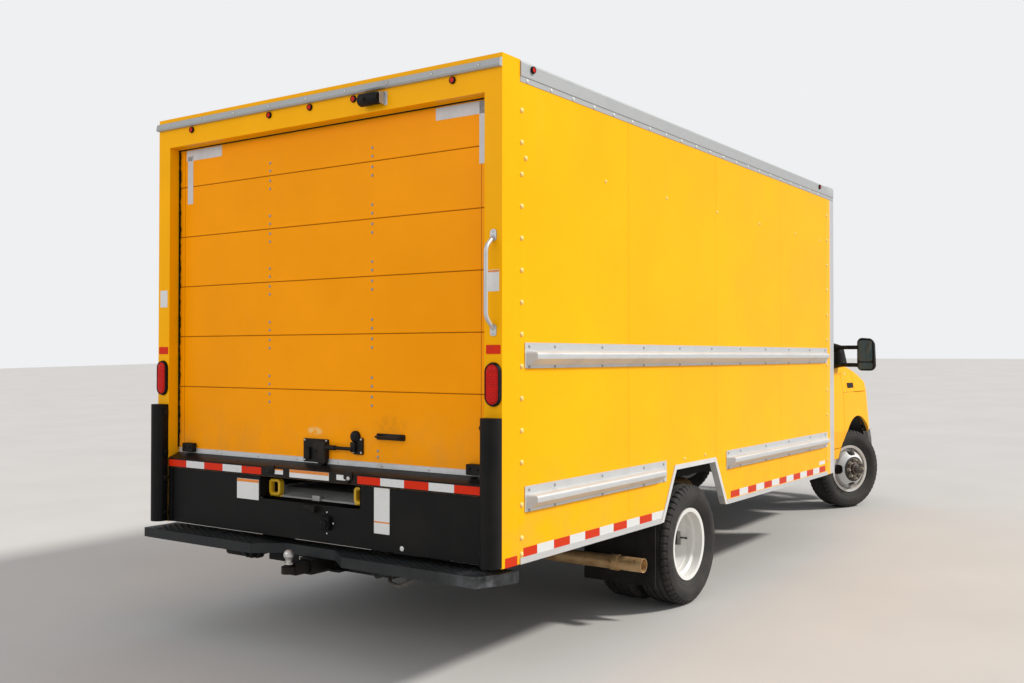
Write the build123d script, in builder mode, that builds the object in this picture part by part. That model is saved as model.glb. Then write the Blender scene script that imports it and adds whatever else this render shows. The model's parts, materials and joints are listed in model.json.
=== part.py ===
"""Cutaway-cab box truck with dual rear wheels, a roll-up rear door and a slide-out loading ramp.

Millimetres. +X points forward, +Y to the left, +Z up. The origin is on the ground, below the middle of
the truck's overall box. The truck is parked with its front wheels steered to the right.
"""
import os
from math import atan2, degrees

from build123d import *

os.makedirs("parts", exist_ok=True)

# Chassis layout
WHEELBASE = 4013.0
FRONT_OVERHANG = 752.0  # front axle to the bumper's face
REAR_OVERHANG = 2140.0  # rear axle to the back of the ball mount
CLEAR = 6.0  # gap between a moving piece and its neighbours
SEAT = 0.5  # gap between two fixed pieces that only touch in real life
REAR_HUB_Z = 365.0  # below the body's own level, before the truck is set on its wheels
FRONT_HUB_RISE = 84.0  # an empty truck stands a little nose down

X_FRONT = (WHEELBASE + FRONT_OVERHANG + REAR_OVERHANG) / 2
X_FRONT_AXLE = X_FRONT - FRONT_OVERHANG
X_REAR_AXLE = X_FRONT_AXLE - WHEELBASE
FRONT_HUB_Z = REAR_HUB_Z + FRONT_HUB_RISE

# Tyres and wheels
TYRE_RADIUS = 352.0
TYRE_WIDTH = 222.0
TREAD_WIDTH = 176.0
TWIN_GAP = 37.0  # between the twin tyres' side walls
BEAD_RADIUS = 198.0
FLANGE_RADIUS = 212.0
RIM_WIDTH = 152.0  # between the flanges
RIM_SHEET = 9.0
WELL_RADIUS = 176.0
HUB_RADIUS = 62.0
HUB_CAP_RADIUS = 46.0
DISC_RADIUS = 112.0  # flat bolting face of the wheel's disc
HAND_HOLE_RADIUS = 27.0
HAND_HOLES = 4
SPINDLE_RADIUS = 34.0
FRONT_HALF_TRACK = 852.0
KINGPIN_Y = 746.0
STEER_REST = -27.0  # degrees from straight ahead, parked to the right
BRAKE_RADIUS = 154.0
ARM_LENGTH = 166.0  # steering arm, kingpin to tie rod
ARM_INBOARD = -14.0
TIE_ROD_RADIUS = 14.0

DUAL_SPACING = TYRE_WIDTH + TWIN_GAP
MOUNT_OFFSET = DUAL_SPACING / 2

# Ladder frame
RAIL_OUTER_Y = 432.0
RAIL_FLANGE = 65.0
RAIL_SHEET = 9.0
RAIL_BOTTOM = 585.0
RAIL_TOP = 735.0
RAIL_FRONT_GAP = 175.0  # bumper's face to the rails' front ends
CROSS_TUBE_RADIUS = 38.0
AXLE_MEMBER_DEPTH = 29.0

# Cargo body
BOX_LENGTH = 4572.0
BOX_WIDTH = 2388.0
BOX_BEHIND_AXLE = 1421.0  # front axle back to the body's front wall
ROOF_TOP = 2812.0
SKIRT_BOTTOM = 552.0
DECK_TOP = 935.0
DECK_THICK = 35.0
SILL_DEPTH = 38.0  # cross sills under the deck
LONG_SILL_WIDTH = 50.0
CROSS_SILLS = 12
WALL_THICK = 32.0
ROOF_THICK = 34.0
TOP_RAIL_HEIGHT = 99.0
TOP_RAIL_FOOT = 27.0
ROOF_RAIL_WIDTH = 46.0
REAR_FRAME_DEPTH = 138.0
POST_WIDTH = 96.0
HEADER_HEIGHT = 163.0
SILL_FALL, SILL_SLOPE = 27.0, 66.0
DOOR_SETBACK = 70.0
DOOR_THICK = 26.0
DOOR_PANEL = 281.0
DOOR_BOTTOM_PANEL = 371.0
PANEL_GROOVE = 4.0
FRONT_CORNER_RADIUS = 48.0
FRONT_POST_WIDTH = 165.0
OUTER_TYRE_INSET = 14.5  # outer tyre's side wall behind the body's side

HALF_BOX = BOX_WIDTH / 2
X_BOX_FRONT = X_FRONT_AXLE - BOX_BEHIND_AXLE
X_BOX_REAR = X_BOX_FRONT - BOX_LENGTH
X_FRAME_FRONT = X_BOX_REAR + REAR_FRAME_DEPTH
WALL_FRONT = X_BOX_FRONT - FRONT_POST_WIDTH
CAP_BACK = X_BOX_FRONT - FRONT_CORNER_RADIUS - 4
HEADER_BOTTOM = ROOF_TOP - HEADER_HEIGHT
REAR_OUTER_Y = HALF_BOX - OUTER_TYRE_INSET - TYRE_WIDTH / 2
SILL_BOTTOM = DECK_TOP - DECK_THICK - SILL_DEPTH

# Wheel arch in the skirt, measured from the rear axle
ARCH_TOP = 833.0
ARCH_TOP_REAR, ARCH_TOP_FRONT = -262.0, 275.0
ARCH_FOOT_REAR, ARCH_FOOT_FRONT = -425.0, 440.0
ARCH_TRIM = 26.0  # room for the trim round the arch
SKIRT_SHEET = 4.0
SKIRT_RAIL_TOP = 579.0

# Side rails: height of the foot, and ends measured from what they stop at
RUB_HEIGHT = 116.0
RUB_BULGE = 50.0
RUB_FLANGE = 3.0
RUB_LEDGE = 37.0  # top edge down to the ledge
RUB_KNEE = 42.0  # foot up to the end of the upright face
RUB_FOOT = 10.0
RUB_LOW = 778.0
RUB_MID = 1425.0
RUB_END_GAP = 37.0
RUB_FRONT_GAP = 6.0

# Ramp
RAMP_WIDTH = 690.0
RAMP_LENGTH = 3200.0
RAMP_SETBACK = 70.0  # behind the apron's face
RAMP_BOTTOM = 747.0
RAMP_PLATE = 12.0
RAMP_RAIL_HEIGHT = 52.0
RAMP_RAIL_WIDTH = 26.0
RAMP_LIP = 100.0
LOOP_SIZE = 84.0
LOOP_BAR = 14.0
SLOT_GAP = 8.0
SLOT_TOP = 856.0

# Rear step bumper and corner guards
STEP_TOP = 522.0
STEP_HEIGHT = 50.0
STEP_SHEET = 7.0
STEP_REAR = 90.0  # behind the body's rear face
STEP_INNER = 130.0  # ahead of the body's rear face
NOTCH_HALF_OUT, NOTCH_HALF_IN, NOTCH_DEPTH = 320.0, 175.0, 110.0
STEP_CORNER_Y, STEP_CORNER_X = 78.0, 180.0
GUARD_RADIUS = 46.0
GUARD_REACH = 69.0
GUARD_TOP, GUARD_BOTTOM = 1208.0, 556.0

# Tow hitch
BALL_RADIUS = 25.4
BALL_SETBACK = 36.0  # ball's centre ahead of the mount's end
BALL_CENTRE_Z = 505.0
MOUNT_TOP = 447.0
MOUNT_THICK = 34.0
RECEIVER_SIZE = 80.0
RECEIVER_BORE = 64.0
HITCH_TUBE = 64.0
CHAIN_HOLE_RADIUS = 15.0
CHAIN_PLATE = 12.0
CHAIN_HOLE_Y = 100.0

# Cab, measured from the front axle. Plan outlines run straight along the side to the turn, round the
# corner to the bend and across the nose.
CAB_GAP = 12.0  # cargo body to the cab's back
SIDE_CREASE = 817.0
HOOD_SEAM = 1154.0
BELT = 1363.0
CAB_LEVELS = [
    # height, half width, turn x, bend half width, bend x, nose x
    (572.0, 930.0, 300.0, 690.0, 590.0, 650.0),
    (SIDE_CREASE, 966.0, 310.0, 716.0, 611.0, 668.0),
    (HOOD_SEAM, 952.0, 258.0, 703.0, 565.0, 640.0),
    (BELT + 60.0, 905.0, 215.0, 664.0, 500.0, 570.0),
]
GLASS_LEVELS = [
    # height, half width, turn x, bend half width, bend x, nose x
    (BELT - 40.0, 930.0, -370.0, 822.0, -262.0, -75.0),
    (BELT + 630.0, 780.0, -860.0, 682.0, -765.0, -661.0),
    (BELT + 720.0, 712.0, -930.0, 604.0, -850.0, -760.0),
    (BELT + 750.0, 586.0, -1010.0, 468.0, -960.0, -880.0),
]
HOOD_STATIONS = [
    # x, height on the centre line
    (-420.0, BELT + 95.0),
    (-60.0, BELT + 61.0),
    (150.0, BELT + 7.0),
    (400.0, BELT - 81.0),
    (560.0, BELT - 148.0),
    (720.0, BELT - 235.0),
]
HOOD_CROWN = 40.0  # fall from the centre line to the flat's edge
HOOD_FLAT = 830.0
SHOULDER = (140.0, 92.0)  # width and fall of the rounded edge
CAB_WALL = 48.0
HOOD_THICK = 32.0
COWL_X = -60.0  # the hood's rear edge
FIREWALL_X = -250.0
FIREWALL_THICK = 40.0
CAB_FLOOR = 820.0
FLOOR_THICK = 40.0
DOOR_FRONT_X = -395.0
DOOR_REAR_X = -1365.0
DOOR_SILL = 668.0
DOOR_TOP = BELT + 650.0
DOOR_DEPTH_Y = 560.0  # the doors' prisms start this far out
DOOR_SLANT = 0.26  # rear edge, forwards per unit inwards
PILLAR_FOOT_X = -430.0
PILLAR_TOP_X = -860.0
WINDOW_LOW, WINDOW_HIGH = BELT + 50.0, BELT + 590.0
WINDOW_FRAME = 75.0
SAIL_X = -640.0
SAIL_TOP = BELT + 225.0
WINDOW_REAR = 110.0
GLASS_INSET = 12.0
GLASS_THICK = 5.0
SCREEN_LOW, SCREEN_HIGH = BELT + 80.0, BELT + 590.0
SCREEN_LOW_Y, SCREEN_HIGH_Y = 748.0, 622.0
ARCH_GAP = 116.0  # front tyre's tread to the arch
ARCH_LIFT = 14.0  # arch's centre above the axle
ARCH_SHIFT = 5.0
LINER_SHEET = 5.0
LINER_INNER_Y = 515.0
LINER_WIDTH = 388.0
BUMPER_BOTTOM, BUMPER_TOP = 548.0, 785.0
BUMPER_SHEET = 28.0
BUMPER_HALF = 972.0
GRILLE_HALF, GRILLE_LOW, GRILLE_HIGH = 460.0, 832.0, 1114.0
GRILLE_BARS = 4
HEADLAMP_IN, HEADLAMP_OUT, HEADLAMP_LOW, HEADLAMP_HIGH = 485.0, 768.0, 880.0, 1090.0
MIRROR_X = -790.0
MIRROR_OUT = 1340.0
MIRROR_SIZE = (150.0, 280.0, 92.0)
MIRROR_Z = BELT + 131.0
ARM_HEIGHTS = (BELT + 40.0, BELT + 190.0)
MIRROR_FOOT_Y = 874.0
SEAT_Y = 390.0

ARCH_RADIUS = TYRE_RADIUS + ARCH_GAP
ARCH_CENTRE_Z = FRONT_HUB_Z + ARCH_LIFT
X_CAB_BACK = X_BOX_FRONT + CAB_GAP
WIDE = 1100.0  # beyond the cab's sides


def sides():
    """Left and right, as a name and a sign for Y."""
    return (("left", 1), ("right", -1))


def box_between(x0, x1, y0, y1, z0, z1, mode=Mode.ADD):
    """Adds a block between two corners to the part being built."""
    with Locations(((x0 + x1) / 2, (y0 + y1) / 2, (z0 + z1) / 2)):
        return Box(abs(x1 - x0), abs(y1 - y0), abs(z1 - z0), mode=mode)


REAR_HUB = Vector(X_REAR_AXLE, 0, REAR_HUB_Z)
RAKE = degrees(atan2(FRONT_HUB_RISE, WHEELBASE))


def parked(point):
    """Where a point of the level truck comes to when the truck is turned nose down about the rear hubs."""
    return (Vector(*point) - REAR_HUB).rotate(Axis.Y, RAKE) + REAR_HUB


LAST_BACK = parked((X_REAR_AXLE - REAR_OVERHANG, 0, MOUNT_TOP))
FIRST_FRONT = parked((X_FRONT, 0, BUMPER_TOP))
TO_GROUND = Vector(-(LAST_BACK.X + FIRST_FRONT.X) / 2, 0, TYRE_RADIUS - REAR_HUB_Z)


def keep(builder, label):
    """Sets a finished piece down as the truck is parked, labels it and writes its file."""
    with BuildPart() as set_down:
        add(builder.part.rotate(Axis(REAR_HUB, (0, 1, 0)), RAKE).translate(TO_GROUND))
    set_down.part.label = label
    export_step(set_down.part, f"parts/{label}.step")


# Wheels. Section points are (radius, distance outwards along the axle).
def axle_section(x, y, z, outward):
    """Sketch plane through a wheel's axis: local X is radial, local Y points outwards."""
    up = Vector(0, 0, 1)
    return Plane(origin=(x, y, z), x_dir=up, z_dir=up.cross(outward))


def tyre_section(shift):
    """Outline of a mounted tyre, its middle shifted along the axle."""
    half_rim, half_tread, half_wide = RIM_WIDTH / 2 - SEAT, TREAD_WIDTH / 2, TYRE_WIDTH / 2
    widest = (BEAD_RADIUS + TYRE_RADIUS) / 2 + 12
    shoulder = TYRE_RADIUS - 12
    with BuildSketch(mode=Mode.PRIVATE) as section:
        with BuildLine():
            Line((BEAD_RADIUS, shift - half_rim), (BEAD_RADIUS, shift + half_rim))
            for sign in (1, -1):
                lip = (FLANGE_RADIUS + 2, shift + sign * half_rim)
                bulge = (widest, shift + sign * half_wide)
                edge = (shoulder, shift + sign * (half_tread + 6))
                tread = (TYRE_RADIUS - 2, shift + sign * (half_tread - 6))
                Line((BEAD_RADIUS, shift + sign * half_rim), lip)
                ThreePointArc(lip, (widest - 42, shift + sign * (half_wide - 8)), bulge)
                ThreePointArc(bulge, (shoulder - 24, shift + sign * (half_wide - 9)), edge)
                Line(edge, tread)
            left = (TYRE_RADIUS - 2, shift - half_tread + 6)
            right = (TYRE_RADIUS - 2, shift + half_tread - 6)
            ThreePointArc(left, (TYRE_RADIUS, shift), right)
        make_face()
    return section.sketch


def rim_section(shift, face):
    """Pressed steel wheel. face is +1 where the bolting face is outboard, -1 inboard."""
    half_rim = RIM_WIDTH / 2
    lip = half_rim + RIM_SHEET
    seat = BEAD_RADIUS - SEAT
    inside = BEAD_RADIUS - RIM_SHEET
    with BuildSketch(mode=Mode.PRIVATE) as section:
        with BuildLine():
            Polyline(
                (FLANGE_RADIUS, shift - lip),
                (FLANGE_RADIUS, shift - half_rim),
                (seat, shift - half_rim),
                (seat, shift - half_rim + 34),
                (WELL_RADIUS + RIM_SHEET, shift - half_rim + 48),
                (WELL_RADIUS + RIM_SHEET, shift + half_rim - 48),
                (seat, shift + half_rim - 34),
                (seat, shift + half_rim),
                (FLANGE_RADIUS, shift + half_rim),
                (FLANGE_RADIUS, shift + lip),
                (inside, shift + lip - 3),
                (inside, shift + half_rim - 38),
                (WELL_RADIUS, shift + half_rim - 52),
                (WELL_RADIUS, shift - half_rim + 52),
                (inside, shift - half_rim + 38),
                (inside, shift - lip + 3),
                close=True,
            )
        make_face()
        with BuildLine():
            Polyline(
                (WELL_RADIUS + 3, shift + face * 6),
                (WELL_RADIUS + 3, shift + face * 24),
                (DISC_RADIUS + 46, shift + face * (MOUNT_OFFSET - 38)),
                (DISC_RADIUS, shift + face * MOUNT_OFFSET),
                (HUB_RADIUS - 20, shift + face * MOUNT_OFFSET),
                (HUB_RADIUS - 20, shift + face * (MOUNT_OFFSET - RIM_SHEET)),
                (DISC_RADIUS - 3, shift + face * (MOUNT_OFFSET - RIM_SHEET)),
                (DISC_RADIUS + 36, shift + face * (MOUNT_OFFSET - 44)),
                (WELL_RADIUS - 10, shift + face * 12),
                (WELL_RADIUS - 10, shift + face * 6),
                close=True,
            )
        make_face()
    return section.sketch


def make_tyre(label, centre, outward, shifts):
    plane = axle_section(*centre, outward)
    with BuildPart() as tyre:
        for shift in shifts:
            with BuildSketch(plane):
                add(tyre_section(shift))
        revolve(axis=Axis(plane.origin, outward))
    keep(tyre, label)


def make_wheel(label, centre, outward, rims, hub_from, hub_to):
    """rims lists (shift, face). The hub runs along the axle and is bored for the spindle from inboard."""
    plane = axle_section(*centre, outward)
    along = Plane(origin=plane.origin, x_dir=Vector(0, 0, 1), z_dir=outward)
    with BuildPart() as wheel:
        for shift, face in rims:
            with BuildSketch(plane):
                add(rim_section(shift, face))
        revolve(axis=Axis(plane.origin, outward))
        for shift, face in rims:
            slope = shift + face * (MOUNT_OFFSET - 44)
            with BuildSketch(along.offset(slope - 40)):
                with PolarLocations(DISC_RADIUS + 36, HAND_HOLES, start_angle=0):
                    SlotOverall(3.2 * HAND_HOLE_RADIUS, 2 * HAND_HOLE_RADIUS, rotation=90)
            extrude(amount=80, mode=Mode.SUBTRACT)
        with BuildSketch(along.offset(hub_from)):
            Circle(HUB_RADIUS)
        extrude(amount=hub_to - hub_from)
        with BuildSketch(along.offset(hub_to)):
            Circle(HUB_CAP_RADIUS)
        extrude(amount=26, taper=12)
        with BuildSketch(along.offset(hub_from)):
            Circle(SPINDLE_RADIUS + SEAT)
        extrude(amount=hub_to - hub_from - 12, mode=Mode.SUBTRACT)
    keep(wheel, label)


for side, sign in sides():
    # Rear pair, bolted face to face: the outer wheel is dished inwards, the inner one outwards
    outward = Vector(0, sign, 0)
    outer = (X_REAR_AXLE, sign * REAR_OUTER_Y, REAR_HUB_Z)
    rear_rims = ((0, -1), (-DUAL_SPACING, 1))
    make_tyre(f"tyres_rear_{side}", outer, outward, (0, -DUAL_SPACING))
    make_wheel(f"wheels_rear_{side}", outer, outward, rear_rims, -MOUNT_OFFSET - 70, -MOUNT_OFFSET + 62)

    # Front wheel, turned about its kingpin
    outward = Vector(0, sign, 0).rotate(Axis.Z, STEER_REST)
    arm = FRONT_HALF_TRACK - KINGPIN_Y
    hub = (X_FRONT_AXLE + arm * outward.X, sign * KINGPIN_Y + arm * outward.Y, FRONT_HUB_Z)
    make_tyre(f"tyre_front_{side}", hub, outward, (0,))
    make_wheel(f"wheel_front_{side}", hub, outward, ((0, 1),), MOUNT_OFFSET - 70, MOUNT_OFFSET + 10)

    # Knuckle: two ears round the axle's end boss, a web, the spindle, the brake and the steering arm
    pin = Plane(origin=(X_FRONT_AXLE, sign * KINGPIN_Y, FRONT_HUB_Z), x_dir=outward, z_dir=(0, 0, 1))
    spindle = Plane(origin=pin.origin, x_dir=(0, 0, 1), z_dir=outward)
    with BuildPart() as knuckle:
        for low in (-92, 66):
            with BuildSketch(pin.offset(low)):
                Circle(38)
                with Locations((38, 0)):
                    Rectangle(76, 60)
            extrude(amount=26)
        with BuildSketch(pin.offset(-92)):
            with Locations((64, 0)):
                Rectangle(26, 76)
        extrude(amount=184)
        with BuildSketch(spindle.offset(60)):
            Circle(SPINDLE_RADIUS)
        extrude(amount=arm + MOUNT_OFFSET - 60 - 10)
        with BuildSketch(spindle.offset(76)):
            Circle(BRAKE_RADIUS)
        extrude(amount=28)
        with BuildSketch(pin.offset(-92)):
            with Locations((ARM_INBOARD, -sign * ARM_LENGTH / 2)):
                SlotOverall(ARM_LENGTH + 34, 34, rotation=90)
        extrude(amount=22)
    keep(knuckle, f"knuckle_{side}")

# Tie rod below the steering arms' ends
TIE_Z = FRONT_HUB_Z - 92 - CLEAR - TIE_ROD_RADIUS
with BuildPart() as tie_rod:
    tips = []
    for side, sign in sides():
        outward = Vector(0, sign, 0).rotate(Axis.Z, STEER_REST)
        ahead = outward.rotate(Axis.Z, -sign * 90)
        kingpin = Vector(X_FRONT_AXLE, sign * KINGPIN_Y, TIE_Z)
        tips.append(kingpin + outward * ARM_INBOARD + ahead * ARM_LENGTH)
    run = tips[1] - tips[0]
    with BuildSketch(Plane(origin=tips[0], z_dir=run)):
        Circle(TIE_ROD_RADIUS)
    extrude(amount=run.length)
    for tip in tips:
        with Locations(tip):
            Cylinder(TIE_ROD_RADIUS + 6, 2 * TIE_ROD_RADIUS)
        with BuildSketch(Plane.XY.offset(TIE_Z)):
            with Locations((tip.X, tip.Y)):
                Circle(8)
        extrude(amount=TIE_ROD_RADIUS + CLEAR - 1)
keep(tie_rod, "tie_rod")

# Ladder frame: two channel rails, the tubes between them and the front axle's crossmember
RAIL_REAR = X_BOX_REAR + 95
RAIL_FRONT = X_FRONT - RAIL_FRONT_GAP
AXLE_MEMBER_BOTTOM = RAIL_BOTTOM - AXLE_MEMBER_DEPTH
CROSS_X = (
    RAIL_REAR + 40,
    X_REAR_AXLE - 560,
    X_REAR_AXLE + 620,
    X_FRONT_AXLE - 1900,
    X_FRONT_AXLE + 500,
)
with BuildPart() as frame_rails:
    for side, sign in sides():
        outer_face, inner_edge = sign * RAIL_OUTER_Y, sign * (RAIL_OUTER_Y - RAIL_FLANGE)
        box_between(RAIL_REAR, RAIL_FRONT, outer_face, outer_face - sign * RAIL_SHEET, RAIL_BOTTOM, RAIL_TOP)
        box_between(RAIL_REAR, RAIL_FRONT, outer_face, inner_edge, RAIL_BOTTOM, RAIL_BOTTOM + RAIL_SHEET)
        box_between(RAIL_REAR, RAIL_FRONT, outer_face, inner_edge, RAIL_TOP - RAIL_SHEET, RAIL_TOP)
    reach = RAIL_OUTER_Y - RAIL_SHEET / 2
    for x in CROSS_X:
        with BuildSketch(Plane.XZ.offset(-reach)):
            with Locations((x, (RAIL_BOTTOM + RAIL_TOP) / 2)):
                Circle(CROSS_TUBE_RADIUS)
        extrude(amount=2 * reach)
    box_between(
        X_FRONT_AXLE - 65, X_FRONT_AXLE + 65, -RAIL_OUTER_Y, RAIL_OUTER_Y, AXLE_MEMBER_BOTTOM, RAIL_BOTTOM
    )
keep(frame_rails, "frame_rails")

# Engine and gearbox as plain blocks, with the propeller shaft
ENGINE_REAR, ENGINE_FRONT = X_FRONT_AXLE - 190, X_FRONT_AXLE + 420
SHAFT_Z = 560.0
GEARBOX_END = X_FRONT_AXLE - 1250
PINION_X = X_REAR_AXLE + 190
with BuildPart() as powertrain:
    box_between(ENGINE_REAR, ENGINE_FRONT, -270, 270, RAIL_BOTTOM + 15, RAIL_BOTTOM + 475)
    box_between(GEARBOX_END, ENGINE_REAR, -140, 140, SHAFT_Z - 90, SHAFT_Z + 160)
    shaft_run = Vector(PINION_X + 14 - GEARBOX_END, 0, REAR_HUB_Z + 30 - SHAFT_Z)
    with BuildSketch(Plane(origin=(GEARBOX_END, 0, SHAFT_Z), z_dir=shaft_run)):
        Circle(42)
    extrude(amount=shaft_run.length)
keep(powertrain, "powertrain")

# Front axle: two crossed beams, each hung from the far side of the crossmember, with radius arms
BEAM_OFFSET_X = 38.0
PIVOT_Y = 250.0
with BuildPart() as front_axle:
    for side, sign in sides():
        x = X_FRONT_AXLE + sign * BEAM_OFFSET_X
        start = Vector(x, -sign * PIVOT_Y, FRONT_HUB_Z - 30)
        run = Vector(x, sign * (KINGPIN_Y - 10), FRONT_HUB_Z) - start
        with BuildSketch(Plane(origin=start, x_dir=(1, 0, 0), z_dir=run)):
            Rectangle(56, 84)
            with Locations((-22, 0), (22, 0)):
                Rectangle(20, 46, mode=Mode.SUBTRACT)
        extrude(amount=run.length)
        with BuildSketch(Plane.XY.offset(FRONT_HUB_Z - 60)):
            with Locations((X_FRONT_AXLE, sign * KINGPIN_Y)):
                Circle(36)
            with Locations((X_FRONT_AXLE, sign * (KINGPIN_Y - 22))):
                Rectangle(80, 40)
        extrude(amount=120)
        # hanger from the crossmember down to the beam's pivot
        near, far = -sign * (PIVOT_Y - 20), -sign * (PIVOT_Y + 20)
        box_between(x - 22, x + 22, near, far, FRONT_HUB_Z - 60, AXLE_MEMBER_BOTTOM - SEAT)
        # radius arm back to a bracket on the frame
        arm_start = Vector(X_FRONT_AXLE, sign * 500, FRONT_HUB_Z - 15)
        arm_run = Vector(X_FRONT_AXLE - 900, sign * (RAIL_OUTER_Y + 38), RAIL_BOTTOM - 60) - arm_start
        with BuildSketch(Plane(origin=arm_start, z_dir=arm_run)):
            Circle(24)
        extrude(amount=arm_run.length)
        near, far = sign * (RAIL_OUTER_Y + 4), sign * (RAIL_OUTER_Y + 68)
        box_between(X_FRONT_AXLE - 940, X_FRONT_AXLE - 860, near, far, RAIL_BOTTOM - 95, RAIL_BOTTOM + 70)
keep(front_axle, "front_axle")

# Rear axle: tube with banjo housing, leaf springs and their hangers
SPRING_Y = 520.0
SPRING_HALF = 640.0
SPRING_WIDTH = 76.0
SPINDLE_END_Y = REAR_OUTER_Y - MOUNT_OFFSET - 6
with BuildPart() as rear_axle:
    for radius, reach in ((SPINDLE_RADIUS, SPINDLE_END_Y), (52, SPINDLE_END_Y - 76)):
        with BuildSketch(Plane.XZ.offset(-reach)):
            with Locations((X_REAR_AXLE, REAR_HUB_Z)):
                Circle(radius)
        extrude(amount=2 * reach)
    with Locations((X_REAR_AXLE, 0, REAR_HUB_Z)):
        Sphere(158)
    with BuildSketch(Plane.YZ.offset(X_REAR_AXLE + 100)):
        with Locations((0, REAR_HUB_Z + 28)):
            Circle(70)
    extrude(amount=PINION_X - X_REAR_AXLE - 100 - SEAT)
    for side, sign in sides():
        middle, ends = REAR_HUB_Z + 52, RAIL_BOTTOM + 40
        rear, front = X_REAR_AXLE - SPRING_HALF, X_REAR_AXLE + SPRING_HALF
        with BuildSketch(Plane.XZ.offset(-sign * SPRING_Y - SPRING_WIDTH / 2)):
            with BuildLine():
                ThreePointArc((rear, ends), (X_REAR_AXLE, middle), (front, ends))
                Line((front, ends), (front, ends + 22))
                ThreePointArc((front, ends + 22), (X_REAR_AXLE, middle + 62), (rear, ends + 22))
                Line((rear, ends + 22), (rear, ends))
            make_face()
        extrude(amount=SPRING_WIDTH)
        near, far = sign * (RAIL_OUTER_Y + SEAT), sign * (SPRING_Y + SPRING_WIDTH / 2 + 2)
        for x in (rear + 12, front - 12):
            box_between(x - 35, x + 35, near, far, RAIL_BOTTOM + 30, RAIL_TOP - 10)
        near, far = sign * (SPRING_Y - 50), sign * (SPRING_Y + 50)
        box_between(X_REAR_AXLE - 60, X_REAR_AXLE + 60, near, far, REAR_HUB_Z - 66, REAR_HUB_Z + 70)
keep(rear_axle, "rear_axle")

# Exhaust: silencer by the right rail, pipe over the axle and out to the right behind the wheels
PIPE_RADIUS = 39.0
PIPE_X = X_REAR_AXLE - 550
PIPE_Z = 325.0
PIPE_END_Y = -(HALF_BOX - 55)
SILENCER_X = X_REAR_AXLE + 1250
with BuildPart() as exhaust:
    with BuildSketch(Plane.YZ.offset(SILENCER_X - 380)):
        with Locations((-300, 470)):
            Ellipse(125, 85)
    extrude(amount=760)
    route = [
        (SILENCER_X - 340, -300, 470),
        (X_REAR_AXLE + 420, -300, 470),
        (X_REAR_AXLE + 200, -330, 540),
        (X_REAR_AXLE - 120, -330, 560),
        (PIPE_X + 90, -340, PIPE_Z + 60),
        (PIPE_X, -520, PIPE_Z),
        (PIPE_X, PIPE_END_Y, PIPE_Z),
    ]
    with BuildLine() as pipe_route:
        FilletPolyline(*route, radius=70)
    with BuildSketch(pipe_route.line ^ 0):
        Circle(PIPE_RADIUS)
    sweep()
    with BuildSketch(Plane.XZ.offset(-PIPE_END_Y - 200)):
        with Locations((PIPE_X, PIPE_Z)):
            Circle(PIPE_RADIUS + 6)
    extrude(amount=46)
    with BuildSketch(Plane.XZ.offset(-PIPE_END_Y)):
        with Locations((PIPE_X, PIPE_Z)):
            Circle(PIPE_RADIUS - 3)
    extrude(amount=-300, mode=Mode.SUBTRACT)
keep(exhaust, "exhaust")

TANK_OUTER_Y = 900.0
with BuildPart() as fuel_tank:
    box_between(X_REAR_AXLE + 700, X_REAR_AXLE + 1700, RAIL_OUTER_Y + 38, TANK_OUTER_Y, 470, 700)
    fillet(fuel_tank.edges().filter_by(Axis.X), 40)
    for x in (X_REAR_AXLE + 950, X_REAR_AXLE + 1450):
        box_between(x - 25, x + 25, RAIL_OUTER_Y + SEAT, TANK_OUTER_Y + 4, 700, 706)
        box_between(x - 25, x + 25, RAIL_OUTER_Y + SEAT, RAIL_OUTER_Y + 40, 640, 706)
keep(fuel_tank, "fuel_tank")

FLAP_X = X_REAR_AXLE - 440
FLAP_BOTTOM, FLAP_TOP = 190.0, 700.0
FLAP_INNER_Y = 697.0
with BuildPart() as mud_flaps:
    for side, sign in sides():
        inner_y, outer_y = sign * FLAP_INNER_Y, sign * (HALF_BOX - 38)
        box_between(FLAP_X - 9, FLAP_X, inner_y, outer_y, FLAP_BOTTOM, FLAP_TOP)
        box_between(FLAP_X - 30, FLAP_X, sign * (RAIL_OUTER_Y + SEAT), outer_y, FLAP_TOP - 30, FLAP_TOP)
keep(mud_flaps, "mud_flaps")

# Deck: slab on cross sills, on two long sills that stand on the frame rails
with BuildPart() as deck:
    inside = HALF_BOX - WALL_THICK - SEAT
    rear, front = X_FRAME_FRONT + SEAT, WALL_FRONT - SEAT
    box_between(rear, front, -inside, inside, DECK_TOP - DECK_THICK, DECK_TOP)
    pitch = (front - rear - 80) / (CROSS_SILLS - 1)
    for number in range(CROSS_SILLS):
        x = rear + 40 + number * pitch
        box_between(x - 18, x + 18, -inside, inside, SILL_BOTTOM, DECK_TOP - DECK_THICK)
    for side, sign in sides():
        near, far = sign * (RAIL_OUTER_Y - LONG_SILL_WIDTH), sign * RAIL_OUTER_Y
        box_between(rear, front, near, far, RAIL_TOP + SEAT, SILL_BOTTOM)
keep(deck, "deck")

# Side walls with their skirts and wheel arches
ARCH_OUTLINE = (
    (X_REAR_AXLE + ARCH_FOOT_REAR, SKIRT_BOTTOM - 5),
    (X_REAR_AXLE + ARCH_TOP_REAR, ARCH_TOP),
    (X_REAR_AXLE + ARCH_TOP_FRONT, ARCH_TOP),
    (X_REAR_AXLE + ARCH_FOOT_FRONT, SKIRT_BOTTOM - 5),
)


with BuildPart() as side_walls:
    for side, sign in sides():
        inner_y, outer_y = sign * (HALF_BOX - WALL_THICK), sign * HALF_BOX
        top = ROOF_TOP - TOP_RAIL_HEIGHT - SEAT
        box_between(X_FRAME_FRONT + SEAT, WALL_FRONT - SEAT, inner_y, outer_y, SKIRT_BOTTOM, top)
    with BuildSketch(Plane.XZ):
        Polygon(*ARCH_OUTLINE, align=None)
    extrude(amount=2 * HALF_BOX, both=True, mode=Mode.SUBTRACT)
keep(side_walls, "side_walls")

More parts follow.
